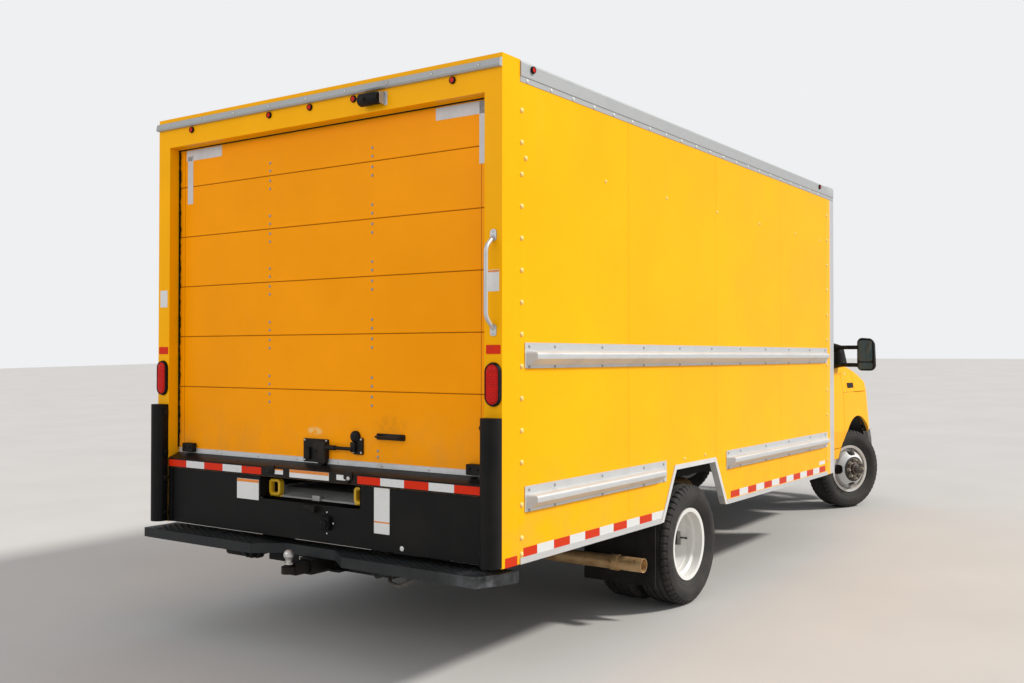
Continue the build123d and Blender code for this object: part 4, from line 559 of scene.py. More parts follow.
body_yellow = body_paint("body_yellow_gloss", YELLOW)
wall_yellow = body_paint("wall_yellow_lapped", YELLOW, seams=SEAM_X)
door_yellow = body_paint("door_yellow_faded", DOOR_YELLOW, 0.9, 1.25, (), STILE_Y, ROWS_Z, DOOR_RUBS)
cab_yellow = body_paint("cab_yellow_gloss", YELLOW, 0.5, 0.95, cab=True)
print("paints", [m.name for m in (body_yellow, wall_yellow, door_yellow, cab_yellow)])

# %% [markdown]
# Bare and plated metal. Extruded rails carry fine lines along their length, so the noise is squeezed
# along X; scuffs are duller and a little darker than the metal round them.

# %% Aluminium, steel and their dirt
def brushed(name, tone, rough=0.4, along=(0.03, 1, 1), metal=0.55, dirt=0.25, dirt_tone=(0.28, 0.25, 0.2)):
    """Metal with fine lines drawn out along the axis whose factor is small, under patches of dirt."""
    skin = Finish(name, Metallic=metal)
    lines = skin.noise(420.0, 3, 0.5, along)
    patches = skin.noise(5.0, 7, 0.62)
    colour = skin.mix(skin.spread(lines, 0.35, 0.7), tuple(c * 0.9 for c in tone), tone)
    colour = skin.mix(skin.spread(patches, 0.52, 0.78, 0.0, dirt), colour, dirt_tone)
    skin.bump(lines, 0.0002, 0.3)
    return skin.done(colour, skin.spread(patches, 0.3, 0.75, rough - 0.06, rough + 0.16))


rail_aluminium = brushed("rail_aluminium_satin", (0.64, 0.645, 0.64), 0.42)
roof_rail = brushed("roof_rail_grey", (0.42, 0.43, 0.43), 0.5, metal=0.35)
trim_aluminium = brushed("trim_aluminium_upright", (0.60, 0.61, 0.62), 0.4, (1, 1, 0.03), dirt=0.4)
sill_foot = brushed("door_foot_aluminium", (0.62, 0.63, 0.64), 0.45, (1, 0.03, 1), 0.4, 0.5)
tank_steel = brushed("tank_black_satin", (0.03, 0.03, 0.032), metal=0.0, dirt=0.5,
                     dirt_tone=(0.16, 0.14, 0.11))
bright_steel = brushed("fastener_zinc", (0.62, 0.61, 0.58), 0.35, (1, 1, 1), 0.8, 0.35, (0.25, 0.17, 0.09))
bumper_silver = brushed("bumper_silver_paint", (0.62, 0.63, 0.63), 0.3, metal=0.45, dirt=0.3)
print("metals", [m.name for m in (rail_aluminium, roof_rail, trim_aluminium, sill_foot, tank_steel)])

# %% [markdown]
# The front corner posts are one CAD piece with the front wall, but three surfaces on the truck: the wall
# is white, the corner bare metal, and the side sheet laps over the post's rear half. Splitting the piece
# would break the frame, so its finish changes where the lap and the corner lie.

# %% Front corner posts
def corner_post():
    """Bare metal on the corner, white on the front sheet, and yellow where the side sheet laps over."""
    skin = Finish("corner_post_lapped", Specular_IOR_Level=0.3)
    lines, patches = skin.noise(420.0, 3, 0.5, (1, 1, 0.03)), skin.noise(5.0, 7, 0.62)
    metal = skin.mix(skin.spread(patches, 0.52, 0.78, 0.0, 0.3), (0.62, 0.63, 0.64), (0.30, 0.27, 0.22))
    metal = skin.mix(skin.spread(lines, 0.35, 0.7, 0.0, 0.12), metal, (0.4, 0.4, 0.4))
    sheet = skin.under(skin.axis("X"), BODY_FRONT - 0.0925, 0.001)
    front_face = skin.under(skin.across(), HALF - 0.058)
    front_face = skin.times(front_face, skin.past(skin.axis("X"), BODY_FRONT - 0.004))
    colour = skin.mix(sheet, skin.mix(front_face, metal, (0.72, 0.72, 0.70)), YELLOW)
    bare = skin.times(skin.minus(1.0, sheet), skin.minus(1.0, front_face))
    skin.bump(lines, 0.0002, 0.3)
    return skin.done(colour, skin.spread(patches, 0.3, 0.75, 0.34, 0.5), skin.times(bare, 0.55))


post_finish = corner_post()
print("corner post", post_finish.name)

# %% [markdown]
# Black parts are not all one black. Guards and apron are powder coated with a pebbled surface that
# dust settles in; the step's coating has gone to bare metal where boots and kerbs reach it; rubber and
# plastic are greyer and duller.

# %% Blacks
def black(name, tone=0.005, rough=0.5, grain=300.0, depth=0.0006, dust=0.3, dust_tone=(0.075, 0.065, 0.052)):
    """Nearly black, with a fine grain in its relief and dust that settles in patches between the grains."""
    skin = Finish(name, Specular_IOR_Level=0.15)
    patches = skin.noise(4.0, 8, 0.65)
    fine = skin.noise(grain, 3)
    settled = skin.spread(patches, 0.42, 0.75, 0.0, dust)
    settled = skin.times(settled, skin.spread(fine, 0.3, 0.6, 0.5, 1.0))
    colour = skin.mix(settled, (tone, tone, tone * 1.05), dust_tone)
    skin.bump(fine, depth, 0.6)
    return skin.done(colour, skin.spread(patches, 0.3, 0.7, rough - 0.08, rough + 0.12))


apron_black = black("apron_black_powder", 0.004, 0.46, dust=0.12)
trim_black = black("trim_black_plastic", 0.007, 0.48, 420.0, 0.0003, 0.18)
hardware_black = black("hardware_black_satin", 0.006, 0.38, 500.0, 0.0002, 0.28, (0.10, 0.065, 0.035))
chassis_black = black("chassis_black_dusty", 0.010, 0.7, 120.0, 0.001, 0.5)
rubber_black = black("flap_rubber_dull", 0.010, 0.75, 160.0, 0.0006, 0.4)
deck_black = black("deck_black_matt", 0.014, 0.65, 90.0, 0.001, 0.5, (0.14, 0.12, 0.09))
seal_black = black("seal_black_rubber", 0.004, 0.6, 200.0, 0.0004, 0.15)


def worn_step():
    """Black coating with bare metal on the right-hand corner and along the outer lip."""
    skin = Finish("step_black_worn", Specular_IOR_Level=0.3)
    patches, fine = skin.noise(9.0, 9, 0.68), skin.noise(260.0, 3)
    settled = skin.spread(patches, 0.42, 0.72, 0.0, 0.3)
    colour = skin.mix(settled, (0.012, 0.014, 0.016), (0.06, 0.057, 0.050))
    corner = skin.spread(skin.axis("Y"), -HALF + 0.01, -HALF + 0.30, 1.0, 0.0)
    rubbed = skin.spread(skin.noise(5.0, 10, 0.6), 0.38, 0.68)
    bare = skin.times(corner, rubbed)
    bare = skin.times(bare, skin.spread(skin.axis("X"), REAR - 0.02, REAR + 0.03, 1.0, 0.25))
    colour = skin.mix(bare, colour, (0.30, 0.31, 0.32))
    skin.bump(fine, 0.0006, 0.6)
    skin.bump(rubbed, 0.0003, 0.4)
    return skin.done(colour, skin.spread(patches, 0.3, 0.7, 0.4, 0.62), skin.times(bare, 0.8))


step_black = worn_step()
print("blacks", [m.name for m in (apron_black, trim_black, hardware_black, chassis_black, step_black)])

# %% [markdown]
# Wheels turn, so their dirt goes by distance from the axle instead of by height: brake dust packs into
# the gutter behind the rim's lip and the middle stays cleaner. The distance is the length of what is
# left of a point's offset once its share along the axle is taken away.

# %% Wheel paint
def wheel_paint(name, centre, outward, tone, gutter, amount):
    """Dirt by radius = sqrt(distance squared - share along the axle squared)."""
    skin = Finish(name, Roughness=0.4, Coat_Weight=0.1)
    kind = "ShaderNodeVectorMath"
    offset = skin.add(kind, {0: skin.parked_place, 1: centre}, operation="SUBTRACT").outputs[0]
    along = skin.add(kind, {0: offset, 1: outward}, operation="DOT_PRODUCT").outputs["Value"]
    distance = skin.add(kind, {0: offset}, operation="LENGTH").outputs["Value"]
    radius = skin.math("SQRT", skin.minus(skin.times(distance, distance), skin.times(along, along)))
    patches = skin.noise(14.0, 8, 0.65)
    dirt = skin.times(skin.spread(radius, 0.12, 0.195), skin.spread(radius, 0.20, 0.222, 1.0, 0.1))
    dirt = skin.times(dirt, skin.spread(patches, 0.3, 0.62, 0.25, 1.0))
    hub = skin.under(radius, 0.055, 0.020)
    colour = skin.mix(skin.spread(patches, 0.4, 0.7), tuple(c * 0.86 for c in tone), tone)
    colour = skin.mix(skin.times(dirt, amount), colour, gutter)
    colour = skin.mix(skin.times(hub, 0.9), colour, (0.16, 0.11, 0.075))
    skin.bump(patches, 0.0006, 0.3)
    return skin.done(colour, skin.spread(patches, 0.3, 0.7, 0.34, 0.5))


WHITE_WHEEL, SILVER_WHEEL = (0.82, 0.81, 0.78), (0.68, 0.68, 0.67)
wheel_finish = {}
for body, (centre, outward) in WHEELS.items():
    front = "front" in body
    tone, gutter = (SILVER_WHEEL, (0.34, 0.27, 0.19)) if front else (WHITE_WHEEL, (0.42, 0.38, 0.31))
    wheel_finish[body] = wheel_paint(body + "_paint", centre, outward, tone, gutter, 0.75 if front else 0.3)
print("wheel paints", [finish.name for finish in wheel_finish.values()])

# %% [markdown]
# The rest of the finishes: dusty tyre rubber, the exhaust's heat tan, the chalky roof, lamp plastic,
# glass, reflective tape with its tiny cells, blank stickers and cabin vinyl. The lamps are one CAD piece,
# so one finish is red at the rear and draws a whole headlamp ahead of the body: flutes with painted
# highlights, a bowl made bright by a painted reflection, bulb and amber end.

# %% Tyre rubber, exhaust and roof
def tyre_rubber():
    skin = Finish("tyre_rubber_dusty", Specular_IOR_Level=0.35)
    patches, fine = skin.noise(7.0, 8, 0.62), skin.noise(340.0, 2)
    dust = skin.spread(patches, 0.36, 0.72, 0.15, 0.85)
    colour = skin.mix(dust, (0.011, 0.0105, 0.010), (0.055, 0.050, 0.043))
    skin.bump(fine, 0.0004, 0.5)
    return skin.done(colour, skin.spread(patches, 0.3, 0.7, 0.72, 0.9))


def exhaust_steel():
    skin = Finish("exhaust_heat_tan", Metallic=0.45)
    patches = skin.noise(11.0, 8, 0.6)
    colour = skin.mix(skin.spread(patches, 0.35, 0.7), (0.46, 0.27, 0.12), (0.66, 0.45, 0.22))
    rust = skin.spread(skin.noise(26.0, 9, 0.7), 0.58, 0.66, 0.0, 0.7)
    colour = skin.mix(rust, colour, (0.17, 0.07, 0.028))
    skin.bump(patches, 0.0008, 0.4)
    return skin.done(colour, skin.spread(patches, 0.3, 0.7, 0.4, 0.6))


def roof_white():
    skin = Finish("roof_white_chalky", Roughness=0.45)
    patches = skin.noise(2.4, 8, 0.62)
    colour = skin.mix(skin.spread(patches, 0.42, 0.7), (0.47, 0.47, 0.455), (0.38, 0.37, 0.34))
    waves = skin.add("ShaderNodeTexWave", {"Vector": skin.place, "Scale": 0.5, "Distortion": 0.4})
    skin.bump(waves.outputs["Fac"], 0.004, 0.5)
    return skin.done(colour)


tyre_finish, pipe_tan, white_roof = tyre_rubber(), exhaust_steel(), roof_white()
print("finishes", [m.name for m in (tyre_finish, pipe_tan, white_roof)])

# %% Lamps and glass
# The headlamp as distances from the middle plane and heights: its frame, and the bowl, bulb and amber end
HEADLAMP_Y, HEADLAMP_Z = (0.498, 0.756), (0.894, 1.076)
BOWL_Y, BOWL_Z, BOWL_RADIUS, BULB_RADIUS, INDICATOR_Y = 0.600, 0.985, 0.078, 0.020, 0.700


def lamp_plastic():
    """Red behind the cab; ahead of it a fluted headlamp with painted highlights on its flutes, a bowl made
    bright by a painted reflection, a dark bulb and an amber end.
    """
    skin = Finish("lamp_plastic", Roughness=0.25, Specular_IOR_Level=0.15)
    cells = skin.add("ShaderNodeTexVoronoi", {"Vector": skin.place, "Scale": 160.0}).outputs["Distance"]
    red = skin.mix(skin.spread(cells, 0.1, 0.7), (0.36, 0.004, 0.002), (0.58, 0.010, 0.005))
    across = skin.across()
    # Painted highlights: light and dark sine stripes across the lens stand in for light caught by its flutes.
    flute_glints = skin.math("SINE", skin.times(across, 420.0))
    lens_with_painted_glints = skin.mix(skin.spread(flute_glints, -0.6, 0.6), (0.20, 0.21, 0.22), (0.42, 0.43, 0.44))
    beside, above = skin.times(skin.minus(across, BOWL_Y), 0.75), skin.minus(skin.axis("Z"), BOWL_Z)
    square = skin.plus(skin.times(beside, beside), skin.times(above, above))
    # The bowl's bright grey is a painted reflection of its chrome.
    for radius, tint in ((BOWL_RADIUS, (0.55, 0.56, 0.57)), (BULB_RADIUS, (0.08, 0.08, 0.085))):
        lens_with_painted_glints = skin.mix(skin.spread(square, radius**2, (radius + 0.004) ** 2), tint, lens_with_painted_glints)
    lens_with_painted_glints = skin.mix(skin.past(across, INDICATOR_Y), lens_with_painted_glints, (0.58, 0.17, 0.01))
    within = skin.times(skin.band("Z", *HEADLAMP_Z, 0.001), skin.past(across, HEADLAMP_Y[0]),
                        skin.under(across, HEADLAMP_Y[1]))
    lens_with_painted_glints = skin.mix(within, (0.02, 0.02, 0.02), lens_with_painted_glints)
    skin.bump(cells, 0.0012, 0.4)
    return skin.done(skin.mix(skin.past(skin.axis("X"), BODY_FRONT + 0.3, 0.01), red, lens_with_painted_glints))


def glass():
    skin = Finish("window_glass_clear", Roughness=0.02, IOR=1.45, Transmission_Weight=0.92)
    film = skin.spread(skin.noise(3.0, 6), 0.4, 0.8, 0.0, 0.25)
    return skin.done(skin.mix(film, (0.72, 0.80, 0.78), (0.60, 0.60, 0.56)))


lamp_finish, clear_glass = lamp_plastic(), glass()
print("headlamp", HEADLAMP_Y, HEADLAMP_Z)


# %% Tapes, stickers, plastics and small metal
def reflective(name, tone, worn):
    """Tape with a net of fine cells under its skin; worn says how dark its scuffs are."""
    skin = Finish(name, Roughness=0.36, Specular_IOR_Level=0.15)
    values = {"Vector": skin.place, "Scale": 300.0}
    cells = skin.add("ShaderNodeTexVoronoi", values, feature="DISTANCE_TO_EDGE").outputs["Distance"]
    colour = skin.mix(skin.spread(cells, 0.0, 0.12), tuple(c * 0.8 for c in tone), tone)
    scuffs = skin.spread(skin.noise(24.0, 9, 0.7), 0.60, 0.66, 0.0, worn)
    colour = skin.mix(scuffs, colour, (0.05, 0.045, 0.04))
    skin.bump(cells, 0.0004, 0.3)
    return skin.done(colour)


def plain(name, tone, rough=0.5, patch=0.85, scale=12.0, grain=200.0, depth=0.0003):
    """Paint or plastic with patches that are patch times as bright, and a fine grain in its relief."""
    skin = Finish(name)
    patches, fine = skin.noise(scale, 7, 0.6), skin.noise(grain, 3)
    colour = skin.mix(skin.spread(patches, 0.35, 0.7), tuple(c * patch for c in tone), tone)
    skin.bump(fine, depth, 0.5)
    return skin.done(colour, skin.spread(patches, 0.3, 0.7, rough - 0.06, rough + 0.08))


tape_red = reflective("tape_red_reflective", (0.66, 0.022, 0.0), 0.4)
tape_white = reflective("tape_white_reflective", (0.66, 0.66, 0.65), 0.45)
side_red = reflective("skirt_red_reflective", (0.56, 0.026, 0.0), 0.2)
side_white = reflective("skirt_white_reflective", (0.64, 0.64, 0.62), 0.12)
sticker_pale = plain("sticker_blank_pale", (0.68, 0.68, 0.66), 0.45, 0.9)
metal_tape = plain("door_tape_grey", (0.56, 0.57, 0.58), 0.4, 0.86)
cabin_vinyl = plain("cabin_vinyl_grey", (0.075, 0.075, 0.08), 0.6, 0.8, 6.0, 420.0, 0.0005)
seat_cloth = plain("seat_cloth_grey", (0.10, 0.10, 0.105), 0.85, 0.75, 30.0, 700.0, 0.0008)
cast_iron = plain("casting_rough_grey", (0.10, 0.09, 0.08), 0.75, 0.6, 30.0, 160.0, 0.001)
hub_brown = plain("hub_rust_brown", (0.036, 0.024, 0.015), 0.6, 0.5, 60.0, 200.0, 0.0008)
nut_steel = brushed("nut_steel_worn", (0.52, 0.46, 0.37), 0.36, (1, 1, 1), 0.5, 0.35, (0.14, 0.09, 0.05))
loop_yellow = plain("loop_yellow_paint", (0.80, 0.47, 0.01), 0.45, 0.8)
trim_white = plain("skirt_trim_white", (0.60, 0.60, 0.58), 0.45, 0.9)
# Rivet heads are yellow like the sheets; the pale cream is a painted highlight on their domes.
rivet_highlight_cream = plain("rivet_yellow_painted_highlight", (0.88, 0.62, 0.20), 0.3, 0.9)
rivet_grey = plain("rivet_dull_grey", (0.30, 0.30, 0.29), 0.4, 0.9)
label_orange = plain("sticker_orange_band", (0.72, 0.22, 0.02), 0.45, 0.9)
# The mirror glass's dim blue-green is a painted reflection of what it faces.
mirror_glass = plain("mirror_glass_painted_reflection", (0.030, 0.060, 0.068), 0.12, 0.8, 3.0)
print("materials so far", len(bpy.data.materials))


# %% Worn metal of the ramp, with yellow paint on the loops at its end
# The loops' paint ends this far forward, and this far from the middle on its inner side
PAINT_X, PAINT_Y = REAR + 0.0845, 0.2595


def ramp_metal():
    """Bare metal; yellow where the outer end's two loops stand, chipped back to dark patches."""
    skin = Finish("ramp_worn_with_loops", Specular_IOR_Level=0.3)
    lines, patches = skin.noise(420.0, 3, 0.5, (0.03, 1, 1)), skin.noise(6.0, 8, 0.65)
    metal = skin.mix(skin.spread(patches, 0.4, 0.75, 0.0, 0.7), (0.42, 0.42, 0.41), (0.16, 0.14, 0.11))
    loops = skin.under(skin.axis("X"), PAINT_X, 0.001)
    loops = skin.times(loops, skin.past(skin.across(), PAINT_Y, 0.001))
    chips = skin.spread(skin.noise(40.0, 6, 0.7), 0.6, 0.66, 0.0, 0.6)
    worn = skin.mix(chips, (0.84, 0.50, 0.0), (0.2, 0.13, 0.04))
    skin.bump(lines, 0.0002, 0.3)
    skin.bump(patches, 0.001, 0.3)
    metallic = skin.times(skin.minus(1.0, loops), 0.5)
    return skin.done(skin.mix(loops, metal, worn), skin.spread(patches, 0.3, 0.75, 0.4, 0.6), metallic)


ramp_finish = ramp_metal()
print("ramp", ramp_finish.name)

# %% [markdown]
# Every CAD piece keeps its shape and gets a finish through its material slot. A table of piece and
# finish is easier to check against the parts list than forty assignments spread over the lesson.

# %% Finishes for the CAD pieces
NODE_FINISH = {
    "frame_rails": chassis_black, "powertrain": cast_iron, "front_axle": chassis_black,
    "rear_axle": chassis_black, "tie_rod": chassis_black, "knuckle_left": cast_iron,
    "knuckle_right": cast_iron, "tyre_front_left": tyre_finish, "tyre_front_right": tyre_finish,
    "tyres_rear_left": tyre_finish, "tyres_rear_right": tyre_finish, "exhaust": pipe_tan,
    "fuel_tank": tank_steel, "mud_flaps": rubber_black, "deck": deck_black, "side_walls": wall_yellow,
    "wall_front": post_finish, "roof": white_roof, "roof_rails": roof_rail,
    "rear_frame": body_yellow, "apron_guards": apron_black, "ramp": ramp_finish,
    "rollup_door": door_yellow, "door_lock": hardware_black, "side_rails": rail_aluminium,
    "step_bumper": step_black, "tow_hitch": hardware_black, "rear_fittings": trim_aluminium,
    "lamps": lamp_finish, "cab_shell": cab_yellow, "hood": cab_yellow, "door_left": cab_yellow,
    "door_right": cab_yellow, "door_glass_left": clear_glass, "door_glass_right": clear_glass,
    "windscreen": clear_glass, "grille": trim_black, "front_bumper": bumper_silver,
    "mirror_left": trim_black, "mirror_right": trim_black, "cabin_fittings": cabin_vinyl,
}
NODE_FINISH.update({body: wheel_finish[body] for body in WHEELS})
for node, finish in NODE_FINISH.items():
    slots = frame["nodes"][node].data.materials
    if len(slots):
        slots[0] = finish
    else:
        slots.append(finish)
print("finished nodes", len(NODE_FINISH), "of", len(frame["nodes"]))

# %% [markdown]
# A plain pale floor and soft light. The sun in the picture stands high to the front right, so the right
# side is a step brighter than the rear, which sees only sky. A wide sun lamp gives that step with soft
# edges, a large dim panel behind lifts the rear, the world fills the rest, and rays that reach the
# camera see a clean pale background.

# %% Floor and light
def floor_finish():
    skin = Finish("floor_pale_plain", Roughness=0.85)
    patches = skin.noise(0.8, 4)
    return skin.done(skin.mix(skin.spread(patches, 0.3, 0.7), (0.43, 0.415, 0.395), (0.46, 0.445, 0.425)))


FLOOR_REACH = 60.0
corners = [(x * FLOOR_REACH, y * FLOOR_REACH, 0.0) for x, y in ((-1, -1), (1, -1), (1, 1), (-1, 1))]
floor_mesh = bpy.data.meshes.new("floor")
floor_mesh.from_pydata(corners, [], [(0, 1, 2, 3)])
floor_mesh.materials.append(floor_finish())
floor = bpy.data.objects.new("floor", floor_mesh)
bpy.context.scene.collection.objects.link(floor)
print("floor reaches", FLOOR_REACH, "metres each way")

# %% World and lamps
world = bpy.data.worlds.new("sky")
bpy.context.scene.world = world
world.use_nodes = True
nodes, links = world.node_tree.nodes, world.node_tree.links
rays = nodes.new("ShaderNodeLightPath")
tone = None
for kind, share in (("Is Glossy Ray", (0.50, 0.52, 0.55)), ("Is Transmission Ray", (0.86, 0.87, 0.88)),
                    ("Is Camera Ray", (0.86, 0.87, 0.88))):
    chosen = nodes.new("ShaderNodeMix")
    chosen.data_type = "RGBA"
    links.new(rays.outputs[kind], chosen.inputs[0])
    if tone is None:
        chosen.inputs[6].default_value = (0.78, 0.80, 0.84, 1.0)
    else:
        links.new(tone, chosen.inputs[6])
    chosen.inputs[7].default_value = (*share, 1.0)
    tone = chosen.outputs[2]
links.new(tone, nodes["Background"].inputs["Color"])
nodes["Background"].inputs["Strength"].default_value = 1.0


def lamp(name, kind, energy, colour, aim, place=(0, 0, 5), **settings):
    """A light that shines along aim: the lamp's own -Z is turned to it."""
    light = bpy.data.lights.new(name, kind)
    light.energy, light.color = energy, colour
    for key, value in settings.items():
        setattr(light, key, value)
    holder = bpy.data.objects.new(name, light)
    aim = np.asarray(aim, float) / np.linalg.norm(aim)
    side = np.cross(aim, (0, 0, 1.0))
    side /= np.linalg.norm(side)
    turn = np.eye(4)
    turn[:3, 0], turn[:3, 1], turn[:3, 2], turn[:3, 3] = side, np.cross(side, aim), -aim, place
    holder.matrix_world = Matrix(turn)
    bpy.context.scene.collection.objects.link(holder)


lamp("key", "SUN", 3.5, (1.0, 0.975, 0.93), (-0.45, 0.72, -0.78), angle=math.radians(7))
lamp("fill", "AREA", 170.0, (1.0, 0.98, 0.95), (1.0, -0.15, -0.35), (-11, 2.5, 5.5), shape="RECTANGLE",
     size=8, size_y=4)

# %% [markdown]
# Tyres. A tyre is a closed section carried round the axle. The CAD section has the right outline, and
# the tread is cut into it here: four grooves run all the way round, and the shoulders are notched into
# blocks. A sculpted or displaced tread would need millions of faces, so instead the section's points
# stand exactly at the groove walls, and only the shoulder points dip where a notch passes.

# %% Tyre section and tread
TYRE_R = 0.352
BLOCKS, PER_BLOCK = 50, 8
GROOVES = (0.060, 0.0215)  # from the middle, on each side
GROOVE_DEPTH, GROOVE_WIDTH, NOTCH_DEPTH = 0.0105, 0.0095, 0.0085
# One half of the section from the bead out, as (radius, along the axle), and the shoulder with each
# point's share of a notch
SIDEWALL = [(0.1985, 0.0745), (0.2118, 0.0755), (0.2182, 0.0814), (0.2292, 0.0893), (0.2402, 0.0955),
            (0.2452, 0.0972), (0.2462, 0.0987), (0.2498, 0.0997), (0.2507, 0.0987), (0.2640, 0.1061),
            (0.2787, 0.1097), (0.2879, 0.1105), (0.3007, 0.1097), (0.3135, 0.1066), (0.3213, 0.1038),
            (0.3227, 0.1048), (0.3268, 0.1031)]
SHOULDER = [(0.3282, 0.1008, 0.4), (0.3346, 0.0972, 1.0), (0.3410, 0.0929, 1.0), (0.3460, 0.0873, 1.0),
            (0.3494, 0.0794, 1.0)]


def tyre_profile():
    """(radius, along) round a tyre's section, and how deep a notch may cut each point."""
    half = [(radius, along, 0) for radius, along in SIDEWALL] + SHOULDER
    for centre in GROOVES:
        crown = TYRE_R - 0.35 * centre**2
        notch = 1.0 if centre > 0.05 else 0.0
        half.append((crown - 0.0002, centre + GROOVE_WIDTH / 2 + 0.0006, notch))
        half.append((crown - GROOVE_DEPTH, centre + GROOVE_WIDTH / 2 - 0.0012, 0))
        half.append((crown - GROOVE_DEPTH, centre - GROOVE_WIDTH / 2 + 0.0012, 0))
        half.append((crown - 0.0002, centre - GROOVE_WIDTH / 2 - 0.0006, 0))
    half = np.array(half)
    other = half[::-1].copy()
    other[:, 1] *= -1
    return np.vstack([half, [(TYRE_R, 0.0, 0)], other])


def tyre(centre, outward, shift):
    """Section points turned about the axle; a notch of each block's last quarter lowers the shoulder."""
    profile = tyre_profile()
    count = BLOCKS * PER_BLOCK
    turn = np.arange(count) * 2 * np.pi / count
    place = (np.arange(count)[:, None] + np.where(profile[None, :, 1] > 0, 0, PER_BLOCK // 2)) % PER_BLOCK
    cut = np.where(place >= PER_BLOCK - 2, NOTCH_DEPTH, 0.0)
    radius = profile[None, :, 0] - cut * profile[None, :, 2]
    up = np.array([0, 0, 1.0])
    across = np.cross(up, outward)
    spoke = np.cos(turn)[:, None, None] * up + np.sin(turn)[:, None, None] * across
    along = (profile[None, :, 1, None] + shift) * outward
    return rings_to_shape(centre + spoke * radius[:, :, None] + along, loop=True)


print("points round a section", len(tyre_profile()), "and sections round a tyre", BLOCKS * PER_BLOCK)

# %% Tyres in their places
# The outer tyre of a twin pair from the pair's middle, and how far inboard of it the other one runs
TYRE_HALF_WIDTH, TWIN_SPACING = 0.111, 0.259
TWIN_IN = level_box("tyres_rear_left")[1][1] - TYRE_HALF_WIDTH - WHEELS["wheels_rear_left"][0][1]
for body, (centre, outward) in WHEELS.items():
    twin = "rear" in body
    node = body.replace("wheels", "tyres").replace("wheel_", "tyre_")
    shifts = (TWIN_IN, TWIN_IN - TWIN_SPACING) if twin else (0.0,)
    tread = join([tyre(centre, outward, shift) for shift in shifts])
    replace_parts(put(node + "_tread", tread, tyre_finish, 28, body), node)
print("triangles of the tyres", made)

# %% [markdown]
# Wheel hardware. The discs are bolted on by eight nuts round a hub. On the steered wheels the hub stands
# out, brown with rust, inside a ring that hides the nuts' feet; on the twin wheels it sits deep in the
# dish. Nuts are six-sided stubs with a chamfered end, copied round the bolt circle in one array.

# %% Nuts, hubs and valves
NUTS, BOLT_CIRCLE = 8, 0.0825
FRONT_FACE, REAR_FACE = 0.1295, TWIN_IN - 0.1275
VALVE_CIRCLE = 0.150


def on_axle(shape, centre, outward, shift):
    """Sets a shape drawn as (right, up, out) on an axle, shift metres outboard of the wheel's middle."""
    up = np.array([0, 0, 1.0])
    right = np.cross(up, outward)
    right /= np.linalg.norm(right)
    return onto(shape, np.array([right, np.cross(outward, right), outward]), centre + shift * outward)


def around(radius, count):
    """Places at equal steps round a circle."""
    turn = np.arange(count) * 2 * np.pi / count
    return np.stack([radius * np.cos(turn), radius * np.sin(turn), np.zeros(count)], -1)


hexagon = circle(0.0125, 6)
nut = layers(hexagon, [(1.25, 1.25, -0.004), (1.25, 1.25, 0.003), (1, 1, 0.003), (1, 1, 0.017),
                       (0.86, 0.86, 0.0215)])
stud = turned([(0.0085, 0.0), (0.0085, 0.030), (0.007, 0.0325)], 10)
ring = [(0.112, -0.006), (0.112, 0.004), (0.104, 0.009), (0.060, 0.009), (0.052, 0.004), (0.052, -0.006)]
cap = [(0.051, -0.004), (0.051, 0.022), (0.045, 0.030), (0.036, 0.033), (0.034, 0.046), (0.024, 0.052),
       (0.004, 0.053)]
valve = turned([(0.004, 0.0), (0.004, 0.030), (0.0055, 0.031), (0.0055, 0.042), (0.004, 0.044)], 10)
for body, (centre, outward) in WHEELS.items():
    front = "front" in body
    face = FRONT_FACE if front else REAR_FACE
    nuts = copies(join([nut, stud]), around(BOLT_CIRCLE, NUTS) + (0, 0, 0.009 if front else 0.0))
    put(body + "_nuts", on_axle(nuts, centre, outward, face), nut_steel, 40, body)
    hub = join([turned(ring, 40, loop=True), turned(cap, 32)]) if front else turned(cap, 32)
    put(body + "_hub", on_axle(hub, centre, outward, face), hub_brown, 40, body)
    stem = copies(valve, [(VALVE_CIRCLE, 0.0, 0.0)])
    depth = 0.02 if front else TWIN_IN - 0.045
    put(body + "_valve", on_axle(stem, centre, outward, depth), seal_black, 40, body)
print("nuts on each wheel", NUTS)

# %% [markdown]
# Rivets. A round head has ten sides and four rings; one head is worked out and every place is added to
# it by broadcasting. A hundred separate objects would do the same and be slower to select and export.
# The heads on the sheets are a pale cream, their yellow paint lightened by a painted highlight on the domes;
# those on the rails are grey.

# %% Rivets and screws
def studs(name, places, facing, radius, height, finish):
    """One rivet head, copied to every place."""
    return put(name, copies(onto(dome(radius, height), facing), places), finish, 50)


POST_RIVETS = [0.594, 0.667, 0.814, 1.004] + [1.146 + 0.1438 * k for k in range(11)]
FRONT_RIVETS = [0.666, 0.838, 1.018, 1.213, 1.409, 1.605, 1.80, 1.995, 2.19, 2.385, 2.58]
RUB_SCREWS = [-3.084, -2.867, -2.421, -1.9725, -1.5275, -1.0825, -0.6375, -0.1925, 0.2525, 0.6975, 1.05]
